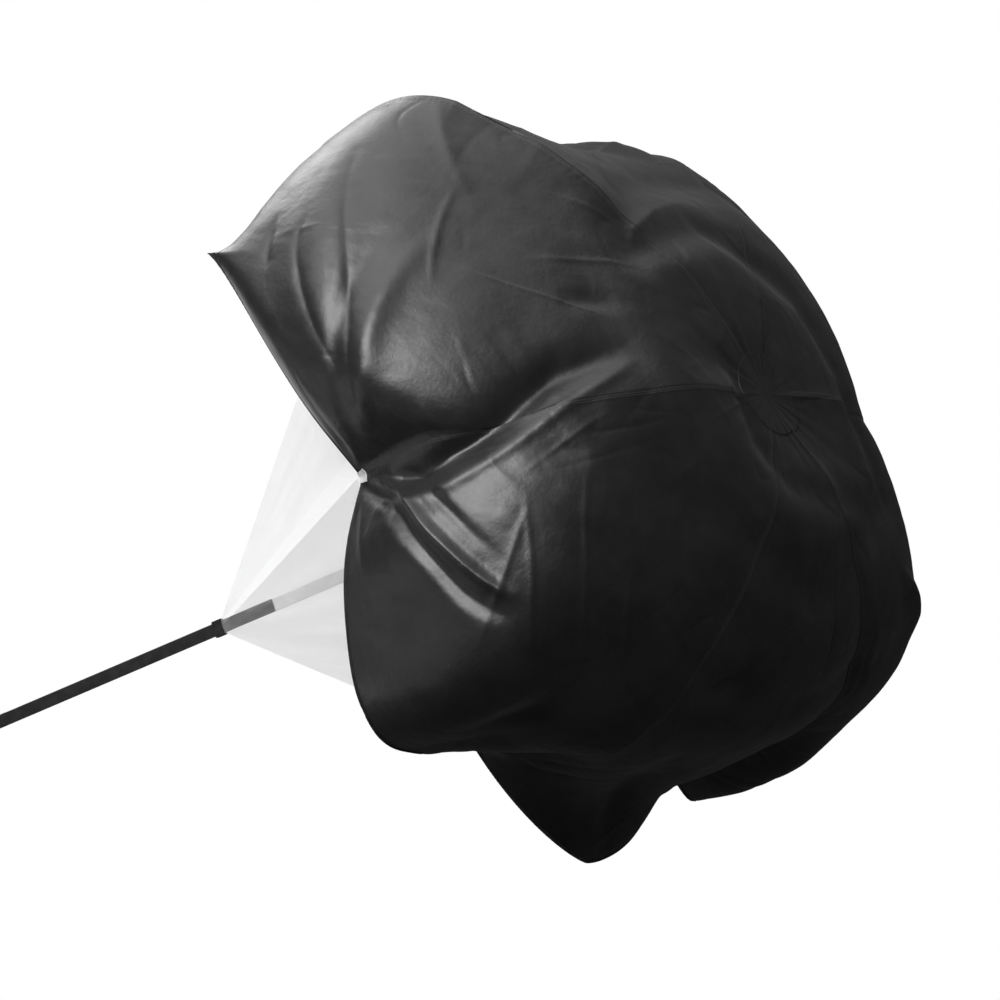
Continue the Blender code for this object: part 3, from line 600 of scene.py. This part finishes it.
def woven_tape(look, ribs, thread=None):
    """Black woven tape: ribs across it, dust, and any stitch lines."""
    dust = look.noise(60.0, 3.0)
    bump = look.bump(ribs, 0.35, 0.25 * MM)
    tone = look.mix(dust.ramp(0.35, 0.7), grey(0.008), grey(0.018))
    if thread:
        bump = look.bump(thread, 0.6, 0.6 * MM, bump)
        tone = look.mix(thread * 0.7, tone, grey(0.03))
    return look.set(Base_Color=tone, Roughness=0.62 + dust * 0.2, Normal=bump)


def binding_look():
    """Binding tape, sewn along both edges."""
    look = Look("black_binding_tape", Specular_IOR_Level=0.3)
    u, v = look.flat()
    return woven_tape(look, u.sine(1.4 * MM), stitch_line(u, v, 3.0 * MM) + stitch_line(u, v, 9.0 * MM))


def collar_look():
    """Folded tape of the collar, with its weave on object coordinates, square to the line of pull."""
    look = Look("collar_tape", Specular_IOR_Level=0.3)
    x, z = look.parts("ShaderNodeSeparateXYZ", 0, 2, values={0: look.place()})
    return woven_tape(look, (x * 0.94 + z * 0.35).sine(1.3 * MM))


def webbing_look(name, low, high, width, lines=()):
    """Flat webbing: twill ribs that slant to the middle and back, a firmer selvedge, and any stitch lines."""
    look = Look(name, Specular_IOR_Level=0.3, Sheen_Weight=0.06)
    u, v = look.flat()
    twill = (u + v.absolute() * 0.9).sine(2.2 * MM) * 0.6 + v.sine(1.6 * MM) * 0.4
    selvedge = v.absolute().ramp(width / 2 - 2.2 * MM, width / 2 - 1.2 * MM)
    dust = look.noise(45.0, 3.0)
    bump = look.bump(twill * (1 - selvedge) + u.sine(1.2 * MM) * selvedge, 0.5, 0.35 * MM)
    tone = look.mix(dust.ramp(0.3, 0.75), low, high)
    if lines:
        thread = sum(stitch_line(u, v, at) for at in lines)
        bump = look.bump(thread, 0.7, 0.6 * MM, bump)
        tone = look.mix(thread * 0.8, tone, grey(0.03))
    return look.set(Base_Color=tone, Roughness=0.68 + dust * 0.16 - selvedge * 0.06, Normal=bump)


def net_look():
    """White warp-knit net: threads along both slants of a diamond and knots where they cross, clear between them."""
    look = Look("white_knit_net", Roughness=0.75, Specular_IOR_Level=0.25)
    u, v = look.flat()
    one, two = (slant.from_middle(2.6 * MM) for slant in (u + v * 0.6, u - v * 0.6))
    lines = 1 - one.maths("MINIMUM", two).ramp(0.026, 0.046)
    knots = 1 - (one + two).ramp(0.09, 0.14)
    threads = lines.maths("MAXIMUM", knots)
    tone = look.mix(look.noise(7.0, 3.0).ramp(0.3, 0.7), grey(0.88, 0.005), grey(0.94))
    return look.set(Base_Color=tone, Alpha=threads, Normal=look.bump(threads, 0.5, 0.3 * MM))


def plastic_look():
    """Black moulded plastic: spark-eroded grain, slightly paler where hands polish it."""
    look = Look("black_moulded_plastic", IOR=1.5, Specular_IOR_Level=0.4)
    grain = look.noise(1400.0, 2.0, 0.6)
    wear = look.noise(38.0, 4.0, 0.6)
    tone = look.mix(wear.ramp(0.45, 0.7), grey(0.010, 0.0005), grey(0.02, 0.001))
    rough = 0.36 + grain * 0.12 + wear * 0.08
    return look.set(Base_Color=tone, Roughness=rough, Normal=look.bump(grain, 0.25, 0.25 * MM))


def steel_look():
    """Plated steel wire with a satin finish and fine draw marks."""
    look = Look("satin_plated_wire", Metallic=1.0)
    marks = look.noise(900.0)
    spots = look.noise(70.0, 3.0)
    tone = look.mix(spots.ramp(0.35, 0.75), grey(0.50, 0.01), grey(0.62, 0.01))
    rough = 0.24 + marks * 0.12 + spots * 0.08
    return look.set(Base_Color=tone, Roughness=rough, Normal=look.bump(marks, 0.08, 0.1 * MM))


# Canopy pieces


def laid_flat(points):
    """Distances across from the first column and along from the first row of a grid, as the UV map."""
    return np.stack([walk(points, 1), walk(points)], -1)


def sheet_area(points):
    """Area of a grid of points: half the cross product of each cell's diagonals."""
    one = points[1:, 1:] - points[:-1, :-1]
    two = points[1:, :-1] - points[:-1, 1:]
    return float(0.5 * np.linalg.norm(np.cross(one, two), axis=-1).sum())


def make_gore(number, look):
    """A gore: the cloth between two seams and SEAM_LAP past the second. The felled seam stands FELL_RISE up along its
    first edge, and beside both seams the cloth puckers as a sine along the seam, by exp(-((d - 14) / 9) ** 2) at d
    mm from it. Also gives its area, length and width laid flat."""
    count, across_count = GORE_GRID
    rows = np.linspace((HEM_WIDTH * 0.35) / GORE_LENGTH, 1 - (PATCH_WIDTH * 0.55) / GORE_LENGTH, count)
    ends = smooth_canopy(rows[:, None], number + np.array([[0.0, 0.5, 1.0]]))
    even = np.linspace(0, 1, across_count)
    turn = number + even[None, :] * (1 + SEAM_LAP / walk(ends, 1)[:, -1:])
    share = np.broadcast_to(rows[:, None], turn.shape)
    middle, out = cloth(share, turn)
    flat = laid_flat(middle)
    across, along = flat[..., 0], flat[..., 1]
    width = across[:, -1:]
    from_seam = np.minimum(across, width - across)
    rise = FELL_RISE * (1 - np.clip((across - FELL_WIDTH) / (2.5 * MM), 0, 1))
    pucker = PUCKER_HEIGHT * np.sin(along * TURN / PUCKER_PITCH + 2.0 * np.sin(along * 37))
    pucker = pucker * np.exp(-(((from_seam - 14 * MM) / (9 * MM)) ** 2))
    middle = middle + (rise + pucker)[..., None] * out
    piece = skin(f"gore_cloth_{number + 1}", middle, out, CLOTH_WALL, flat, look)
    return piece, sheet_area(middle), float(along.max()), float(width.max())


def make_hem(look):
    """Binding tape folded over the cloth's edge: a squared loop carried round the mouth, rippled by its stitches."""
    turn = np.arange(HEM_STATIONS) * GORES / HEM_STATIONS
    angle = np.linspace(0, TURN, 18, endpoint=False)
    across = 0.5 * HEM_WIDTH * (1 - squarer(np.cos(angle), 0.6))
    thick = 0.5 * HEM_WALL * squarer(np.sin(angle), 0.7)
    share, turns = grid(across / GORE_LENGTH, turn)
    middle, out = cloth(share, turns)
    ring, _ = cloth(np.full_like(turn, 0.5 * HEM_WIDTH / GORE_LENGTH), turn)
    length = walk(np.concatenate([ring, ring[:1]]))
    ripple = 0.25 * MM * np.sin(length[:-1] * TURN / (7 * MM))
    outer = middle + out * (thick[:, None] + ripple[None, :] * np.sign(thick)[:, None])[..., None]
    return tube("hem_binding", np.swapaxes(outer, 0, 1), length, across, look, closed=True)


def make_patch(name, width, offset, wall, look):
    """A round patch at the crown: the cloth's own form at an offset, flat at its middle, with nine low waves a gore
    round its rim, which sinks by 0.35 mm over the outer 6 mm, where it is sewn."""
    count, around = PATCH_GRID
    rim = np.linspace(0, width, count)[:, None]
    share, turn = grid(1 - (width - rim[:, 0]) / GORE_LENGTH, np.arange(around) * GORES / around)
    middle, out = cloth(share, turn)
    near = np.clip((share - 0.975) / 0.02, 0, 1)[..., None]
    out = unit(out * (1 - near) + np.array([1.0, 0.0, 0.0]) * near)
    middle[-1] = middle[-1].mean(0)
    puff = 0.35 * MM * np.sin(np.clip(rim / (6 * MM), 0, 1) * math.pi / 2)
    gather = 0.5 * MM * np.sin(turn * TURN * 9) * np.clip(1 - rim / (0.8 * width), 0, 1)
    middle = middle + out * (offset + puff + gather)[..., None]
    bearing = np.linspace(0, TURN, around + 1)
    flat = np.stack(grid(rim[:, 0], bearing * width)[::-1], -1)
    return skin(name, middle, out, wall, flat, look, wrap=True)


def make_rim_tab(number, look):
    """Webbing tab along a seam, laid over the hem and sewn down, thinner towards its side edges by |e| ** 6."""
    rows, even = np.linspace(0, TAB_LENGTH, TAB_GRID[0]), np.linspace(-1, 1, TAB_GRID[1])
    along, across = grid(rows, even * TAB_WIDTH / 2)
    seam = smooth_canopy(rows / GORE_LENGTH, np.full_like(rows, float(number)))
    radius = np.linalg.norm(seam[:, 1:], axis=-1)[:, None]
    middle, out = cloth(along / GORE_LENGTH, number + across * GORES / (TURN * radius))
    lift = HEM_WALL / 2 + 2 * GAP + 0.75 * MM
    wall = (1.4 * MM - 0.5 * MM * np.abs(even) ** 6)[None, :, None]
    flat = np.stack([along, across], -1)
    return skin(f"hem_tab_{number + 1}", middle + out * lift, out, wall, flat, look)


# Net and straps

NET_GRID = (120, 90)
NET_WALL = 0.4 * MM
NET_SCALLOP = 25 * MM
STRAP_WIDTH = 25 * MM
TOW_WALL = 1.8 * MM
CENTRE_WALL = 1.5 * MM
TOW_LAP = 128 * MM
CENTRE_LAP = 60 * MM
TOW_RUN = 550 * MM
COLLAR_LENGTH = 22 * MM
COLLAR_WALL = 3 * MM
LOOP_LAP = 45 * MM
THREAD = 0.5 * MM
STITCH_PITCH = 3.0 * MM


def collar_point(bearing):
    """Where a net's tip meets the collar: on an ellipse round it, just past its downwind end."""
    tall = STRAP_WIDTH / 2 + COLLAR_WALL
    thick = TOW_WALL + CENTRE_WALL + COLLAR_WALL / 2
    return np.array([COLLAR_LENGTH / 2 + GAP, -thick * math.sin(bearing), tall * math.cos(bearing)])


def net_edge(seam):
    """A net's edge from the collar to the hem's corner at a seam, less the hem's wall."""
    start = collar_point(FIRST_SEAM + seam * TURN / GORES)
    corner = smooth_canopy(0.0, float(seam))
    return start, start + (corner - start) * (1 - HEM_WALL / np.linalg.norm(corner - start))


def net_surface(number, down, across):
    """Net triangle: straight lines between two edges, hollowed at its free edge by 4 a (1 - a) d ** 4 of
    NET_SCALLOP, where a is the place across and d the place down."""
    (left_start, left_end), (right_start, right_end) = net_edge(number), net_edge(number + 1)
    left = left_start + (left_end - left_start) * down[..., None]
    right = right_start + (right_end - right_start) * down[..., None]
    inset = 0.4 * MM / np.linalg.norm(right - left, axis=-1)[..., None]
    even = inset + (1 - 2 * inset) * across[..., None]
    inward = unit(left_start - (left_end + right_end) / 2)
    hollow = (4 * across * (1 - across) * down**4)[..., None]
    return left + (right - left) * even + inward * NET_SCALLOP * hollow


def make_net(number, look):
    """Net panel with slack waves: two sines across it, held still at its two straight edges and its tip. Also gives
    its area, length and width laid flat."""
    down, across = grid(*(np.linspace(0, 1, count) for count in NET_GRID))
    middle = net_surface(number, down, across)
    out = unit(np.cross(*np.gradient(middle, axis=(0, 1))))
    slack = np.sin(math.pi * across) * np.sin(math.pi * down * 0.9)
    ripple = 2.2 * MM * np.sin(across * 17 + number) + 1.4 * MM * np.sin(across * 31 + 2.1 * number + 3 * down)
    middle = middle + out * (slack * ripple * down)[..., None]
    flat = laid_flat(middle)
    flat[..., 0] -= flat[:, -1:, 0] / 2
    piece = skin(f"net_panel_{number + 1}", middle, out, NET_WALL, flat, look)
    return piece, sheet_area(middle), float(flat[..., 1].max()), float(2 * flat[..., 0].max())


def eased(path, spacing, rounding):
    """A path of (x, y) at even steps, its corners rounded by a running mean over the given length."""
    path = np.array(path, float)
    length = walk(path)
    at = np.linspace(0, length[-1], max(8, int(length[-1] / spacing)))
    fine = np.stack([np.interp(at, length, path[:, k]) for k in range(2)], 1)
    reach = int(rounding / spacing / 2)
    if reach:
        fine = np.concatenate([2 * fine[:1] - fine[reach:0:-1], fine, 2 * fine[-1:] - fine[-2 : -reach - 2 : -1]])
        kernel = np.hanning(2 * reach + 3)[1:-1]
        fine = np.stack([np.convolve(fine[:, k], kernel / kernel.sum(), "valid") for k in range(2)], 1)
    return fine


def ribbon(name, path, wall, width, look, spacing=2.5 * MM, rounding=0.0):
    """Webbing that stands on edge: a flat band with rounded edges carried along a path of (x, y)."""
    path = eased(path, spacing, rounding)
    ahead = unit(np.gradient(path, axis=0))
    angle = np.linspace(0, TURN, 28, endpoint=False)
    across = 0.5 * width * squarer(np.cos(angle), 0.35)
    out = 0.5 * wall * squarer(np.sin(angle), 0.55)
    x = path[:, :1] - ahead[:, 1:] * out
    y = path[:, 1:] + ahead[:, :1] * out
    z = np.broadcast_to(across, x.shape)
    return tube(name, np.stack([x, y, z], -1), walk(path), across, look)


def box_stitch(x0, x1, y, half):
    """A sewn box with its two diagonals, on the face at y, as the two ends of each short stitch."""
    corners = [np.array((x, y, z)) for x, z in ((x0, -half), (x1, -half), (x1, half), (x0, half))]
    ends = []
    for first, last in ((0, 1), (1, 2), (2, 3), (3, 0), (0, 2), (3, 1)):
        start, run = corners[first], corners[last] - corners[first]
        count = max(1, round(np.linalg.norm(run) / STITCH_PITCH))
        share = (np.arange(count)[:, None] + np.array((0.12, 0.88))) / count
        ends.append(start + run * share[..., None])
    return np.concatenate(ends)


def stitches(name, ends, look):
    """Sewing thread: each stitch is a bead from one point to the next, bowed out by sin(pi s) half a thread, with a
    radius of 0.35 + 0.65 sin(pi s) ** 0.5 half a thread."""
    s, angle = np.linspace(0, 1, 5), np.linspace(0, TURN, 6, endpoint=False)
    out = np.array([0.0, -1.0, 0.0])
    start, run = ends[:, :1], ends[:, 1:] - ends[:, :1]
    side = np.cross(unit(run), out)
    bow = np.sin(math.pi * s)
    centre = start + run * s[:, None] + out * (THREAD * 0.5 * bow)[:, None]
    radius = THREAD * (0.35 + 0.65 * bow**0.5) / 2
    ring = out * np.cos(angle)[:, None] + side * np.sin(angle)[:, None]
    points = centre[:, :, None] + radius[:, None, None] * ring[:, None]
    i, j = (v.ravel() for v in grid(np.arange(4), np.arange(6)))
    k = (j + 1) % 6
    bead = np.stack([i * 6 + j, i * 6 + k, i * 6 + 6 + k, i * 6 + 6 + j], 1).tolist()
    bead += [list(range(5, -1, -1)), list(range(24, 30))]
    faces = [[first + n for n in face] for first in range(0, 30 * len(ends), 30) for face in bead]
    return meshed(name, points.reshape(-1, 3), faces, look, sharp=80)


# Belt

RING_WIRE = 5 * MM
RING_DEPTH = 27 * MM
BELT_WIDTH = 50 * MM
BELT_WALL = 1.6 * MM
BELT_STRAIGHT = 200 * MM
BELT_TURN_RADIUS = 85 * MM
FOLD_LAP = 18 * MM
TAIL_LENGTH = 115 * MM
BAR = 4 * MM
SLOT = 6 * MM
BUCKLE_DEPTH = 34 * MM
BODY_LENGTH = 10 * MM
ADJUSTER_PLACE = 67 * MM
TUNNEL_LENGTH = 14 * MM
FOLD_RADIUS = BAR * math.sqrt(0.5) + GAP + BELT_WALL / 2
STRAP_OUT = BELT_WALL + GAP
BUCKLE_OUT = STRAP_OUT + FOLD_RADIUS
FEMALE_BAR = BUCKLE_DEPTH + SLOT + BAR / 2
MALE_BAR = BODY_LENGTH + SLOT + BAR / 2 + GAP
ADJUSTER_BAR = ADJUSTER_PLACE + TUNNEL_LENGTH + SLOT + BAR / 2
RING_BAR_X = -TOW_RUN - LOOP_LAP - RING_WIRE / 2 - GAP
BELT_BACK_X = RING_BAR_X - RING_DEPTH + RING_WIRE / 2 + GAP + BELT_WALL / 2
BELT_FRONT_X = BELT_BACK_X - 2 * BELT_TURN_RADIUS


def arc(centre, radius, start, end, steps):
    angles = np.radians(np.linspace(start, end, steps + 1))
    return [(centre[0] + radius * math.cos(a), centre[1] + radius * math.sin(a)) for a in angles]


def front(out, y):
    return (BELT_FRONT_X - out, y)


def fold_round(out, y, side):
    """Half a turn round a bar from its outer to its inner side, past its +y or -y side by the sign of side."""
    return arc(front(out, y), FOLD_RADIUS, 180, 180 - side * 180, 24)


def sewn_fold(bar, side):
    """Webbing from its sewn end round one of the buckle's bars and back to the strap, at +y or -y."""
    lap = STRAP_OUT + BELT_WALL + GAP
    places = ((lap, FOLD_LAP), (lap, FOLD_LAP / 2), (BUCKLE_OUT + FOLD_RADIUS, BAR))
    path = [front(out, side * (bar + past)) for out, past in places]
    return path + fold_round(BUCKLE_OUT, side * bar, -side) + [front(STRAP_OUT, side * (bar + BAR))]


def make_belt(look):
    """Belt webbing from the buckle's bar round the waist to the adjuster's bar."""
    half = BELT_STRAIGHT / 2
    middle = BELT_FRONT_X + BELT_TURN_RADIUS
    path = sewn_fold(FEMALE_BAR, 1) + [front(STRAP_OUT / 2, FEMALE_BAR + FOLD_LAP)]
    path += [front(0, FEMALE_BAR + 2 * FOLD_LAP)]
    path += arc((middle, half), BELT_TURN_RADIUS, 180, 0, 64)
    path += arc((middle, -half), BELT_TURN_RADIUS, 0, -180, 64)
    path += [front(0, -ADJUSTER_BAR - BAR)]
    path += fold_round(-FOLD_RADIUS, -ADJUSTER_BAR, 1)
    path += [front(-2 * FOLD_RADIUS, -ADJUSTER_BAR - BAR)]
    path += [front(-2 * FOLD_RADIUS, -ADJUSTER_BAR - BAR - FOLD_LAP / 2)]
    return ribbon("belt_band", path, BELT_WALL, BELT_WIDTH, look, spacing=1.2 * MM)


def make_adjuster_strap(look):
    """Strap folded round the plug's bar, its straight tail through the adjuster."""
    path = sewn_fold(MALE_BAR, -1) + [front(STRAP_OUT, -TAIL_LENGTH)]
    return ribbon("plug_strap", path, BELT_WALL, BELT_WIDTH, look, spacing=1.2 * MM)


def make_tow_loop(look):
    """Strap end folded round the ring's bar and laid back beside the strap."""
    radius = RING_WIRE / 2 + GAP + TOW_WALL / 2
    beside = -TOW_WALL - GAP
    closed = -TOW_RUN - LOOP_LAP / 4
    path = [(-TOW_RUN - GAP, 0), (closed, 0), (RING_BAR_X + 2 * RING_WIRE, radius * 0.8)]
    path += arc((RING_BAR_X, 0), radius, 90, 270, 24)
    path += [(RING_BAR_X + 2 * RING_WIRE, -radius * 0.95), (closed, beside), (-TOW_RUN + LOOP_LAP, beside)]
    return ribbon("tow_strap_loop", path, TOW_WALL, STRAP_WIDTH, look, spacing=1.0 * MM)


# Light, floor and camera

RIGHT = np.array([math.cos(VIEW_TURN), math.sin(VIEW_TURN), 0.0])
BACK = np.array([math.sin(VIEW_TURN), -math.cos(VIEW_TURN), 0.0])
UP = np.array([0.0, 0.0, 1.0])
FLOOR_HEIGHT = -1.0
FLOOR_RADIUS = 6.0

# Places below are given by how far right, up and towards the camera they lie.
# Lamps: middle, width and height in metres, power in watts
LAMP_TARGET = (0.55, 0.25, 0.0)
LAMPS = {
    "top_softbox": ((-0.1, 3.1, 0.7), (2.0, 2.0), 20),
    "left_softbox": ((-0.95, 2.75, -1.0), (1.9, 1.3), 50),
    "front_softbox": ((-0.4, 2.0, 2.7), (1.8, 1.8), 110),
}
# Black cards: low and high corner
CARDS = {
    "right_card": ((2.1, -0.98, -2.2), (2.1, 3.0, 3.4)),
    "back_card": ((0.1, -0.98, -2.2), (2.1, 4.2, -2.2)),
    "low_card": ((-1.3, -0.97, -2.2), (2.1, -0.97, 3.2)),
    "front_card": ((-2.6, -0.98, 3.4), (2.1, 1.3, 3.4)),
    "left_card": ((-1.8, 0.15, -1.2), (-1.8, 2.0, 3.4)),
    "left_rear_card": ((-1.8, -0.98, -1.2), (-1.8, 0.15, 0.4)),
    "left_foot_card": ((-1.8, -0.98, 0.4), (-1.8, -0.50, 3.4)),
}


def seen_from(right, up, towards):
    """A point by how far right, up and towards the camera it lies."""
    return Vector(RIGHT * right + UP * up + BACK * towards)


def faced(thing, way):
    """Turned so that its front looks along a way."""
    thing.rotation_euler = Vector(way).to_track_quat("-Z", "Y").to_euler()


def add_camera():
    data = bpy.data.cameras.new("photo_camera")
    data.lens = LENS
    data.sensor_width = SENSOR
    data.clip_start = 0.1
    data.clip_end = 200.0
    camera = added("photo_camera", data)
    camera.location = seen_from(*VIEW_CENTRE, VIEW_DEPTH + PICTURE * PIXEL * LENS / SENSOR)
    faced(camera, -BACK)
    bpy.context.scene.camera = camera


def add_lamps():
    for name, (place, (width, height), power) in LAMPS.items():
        data = bpy.data.lights.new(name, "AREA")
        data.shape = "RECTANGLE"
        data.size = width
        data.size_y = height
        data.energy = power
        lamp = added(name, data)
        lamp.location = seen_from(*place)
        faced(lamp, seen_from(*LAMP_TARGET) - seen_from(*place))


def add_floor():
    """A pale round floor under the held-up object; it keeps the object's shadow."""
    angle = np.linspace(0, TURN, 96, endpoint=False)
    x, y = FLOOR_RADIUS * np.cos(angle) + 0.3, FLOOR_RADIUS * np.sin(angle)
    mesh = bpy.data.meshes.new("pale_floor")
    mesh.from_pydata(np.stack([x, y, np.full(96, FLOOR_HEIGHT)], 1).tolist(), [], [list(range(96))])
    look = Look("pale_floor_paint", Roughness=0.9, Specular_IOR_Level=0.1, Emission_Strength=1.0)
    pale = look.mix(look.noise(3.0, 3.0).ramp(0.3, 0.7), grey(0.78), grey(0.81))
    seen = look.seen()
    glow = look.mix(seen, grey(0.0), grey(0.5))
    mesh.materials.append(look.set(Base_Color=look.mix(seen, grey(0.3), pale), Emission_Color=glow))
    added("pale_floor", mesh)


def add_cards():
    """Black cards round the object, which only glosses see, so that sides off the light stay dark. Each is a
    rectangle square to one direction."""
    look = Look("black_card", Roughness=0.95, Specular_IOR_Level=0.0)
    look.set(Base_Color=look.mix(look.noise(20.0), grey(0.004), grey(0.006)))
    for name, (low, high) in CARDS.items():
        first, second = [axis for axis in (0, 2, 1) if low[axis] != high[axis]]
        corners = np.tile(low, (4, 1))
        corners[1:3, first] = high[first]
        corners[2:, second] = high[second]
        mesh = bpy.data.meshes.new(name)
        mesh.from_pydata([seen_from(*corner) for corner in corners], [], [[0, 1, 2, 3]])
        mesh.materials.append(look.material)
        card = added(name, mesh)
        for kind in ("camera", "diffuse", "transmission", "volume_scatter", "shadow"):
            setattr(card, f"visible_{kind}", False)


def add_world():
    """White where the camera, a gloss or a clear material looks at it, and a softer grey as light."""
    world = bpy.data.worlds.new("studio")
    nodes = Nodes(world)
    background = nodes.tree.nodes["Background"]
    background.inputs["Color"].default_value = (1.0, 1.0, 1.0, 1.0)
    level = nodes.node("ShaderNodeMapRange", {"Value": nodes.seen(), "To Min": 0.6, "To Max": 1.0})
    nodes.tree.links.new(level.socket, background.inputs["Strength"])
    bpy.context.scene.world = world


def make_canopy():
    """The six gores, their net panels and tabs, the hem's binding and the crown's two patches."""
    taffeta, net = taffeta_look(), net_look()
    # Painted shade: the hem tabs and the crown's anchor patch get a darker copy of the white webbing, 0.40 to 0.52
    # against the strap's 0.78 to 0.88, so that the lit tabs do not burn out.
    tab_white_painted_shade = webbing_look("white_tab_webbing_painted_shade", grey(0.40, 0.005), grey(0.52), TAB_WIDTH)
    dressed(make_hem(binding_look()), "parachute", "binding", "rim_hem")
    crown = make_patch("crown_cap", PATCH_WIDTH, 0.9 * MM, PATCH_WALL * 0.6, taffeta)
    dressed(crown, "parachute", "binding", "crown_patch")
    under = -PATCH_WALL / 2 - GAP - ANCHOR_WALL / 2
    anchor = make_patch("crown_anchor_patch", ANCHOR_WIDTH, under, ANCHOR_WALL * 0.8, tab_white_painted_shade)
    dressed(anchor, "parachute", "white_webbing", "crown_anchor")
    for number in range(GORES):
        piece, area, long, broad = make_gore(number, taffeta)
        dressed(piece, "parachute", "taffeta", f"canopy_gore_{number + 1}")
        dressed(make_rim_tab(number, tab_white_painted_shade), "parachute", "white_webbing", f"rim_tab_{number + 1}")
        panel, area, long, broad = make_net(number, net)
        dressed(panel, "parachute", "net", f"mesh_panel_{number + 1}")


def make_straps():
    """The tow strap with its loop, the centre strap, the belt's two straps, and the sewn boxes."""
    black = webbing_look("black_webbing_25", grey(0.007), grey(0.017), STRAP_WIDTH)
    white = webbing_look("white_webbing_25", grey(0.78, 0.005), grey(0.88), STRAP_WIDTH)
    sewn = (4 * MM - BELT_WIDTH / 2, BELT_WIDTH / 2 - 4 * MM)
    wide = webbing_look("black_webbing_50", grey(0.007), grey(0.016), BELT_WIDTH, sewn)
    black_thread = Look("black_thread", Roughness=0.5, Base_Color=(*grey(0.03), 1.0)).material
    white_thread = Look("white_thread", Roughness=0.6, Base_Color=(*grey(0.7), 1.0)).material

    tow = ribbon("tow_line", [(-TOW_RUN, 0), (0, 0), (TOW_LAP, 0)], TOW_WALL, STRAP_WIDTH, black)
    dressed(tow, "parachute", "black_webbing", "tow_strap")
    behind = TOW_WALL / 2 + GAP + CENTRE_WALL / 2
    end = smooth_canopy(1.0, 0.0)[0] - PATCH_WALL / 2 - GAP - ANCHOR_WALL - GAP
    path = [(TOW_LAP - CENTRE_LAP, behind), (TOW_LAP, behind), (end, 0)]
    centre = ribbon("crown_strap", path, CENTRE_WALL, STRAP_WIDTH, white, rounding=20 * MM)
    dressed(centre, "parachute", "white_webbing", "centre_strap")
    dressed(make_tow_loop(black), "parachute", "black_webbing", "tow_loop")
    dressed(make_belt(wide), "belt", "black_webbing", "belt_webbing")
    dressed(make_adjuster_strap(wide), "plug", "black_webbing", "adjuster_strap")

    inset, half = 4 * MM, STRAP_WIDTH / 2 - 3 * MM
    lap = box_stitch(TOW_LAP - CENTRE_LAP + inset, TOW_LAP - inset, -TOW_WALL / 2, half)
    dressed(stitches("tow_lap_stitches", lap, white_thread), "parachute", "white_webbing")
    beside = -TOW_WALL - GAP - TOW_WALL / 2
    lap = box_stitch(-TOW_RUN - inset, -TOW_RUN + LOOP_LAP - inset, beside, half)
    dressed(stitches("tow_loop_stitches", lap, black_thread), "parachute", "black_webbing")


def finish_hardware():
    """Finishes of the solids that show as they are."""
    plastic = plastic_look()
    looks = {"belt_ring": steel_look(), "apex_collar": collar_look()}
    for node in ("buckle_female", "buckle_male", "strap_adjuster", "release_tab_upper", "release_tab_lower"):
        looks[node] = plastic
    for node, look in looks.items():
        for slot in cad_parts[node].material_slots:
            slot.material = look


add_camera()
add_floor()
add_world()
add_lamps()
add_cards()
bpy.context.scene.view_settings.view_transform = "Standard"
make_canopy()
make_straps()
finish_hardware()
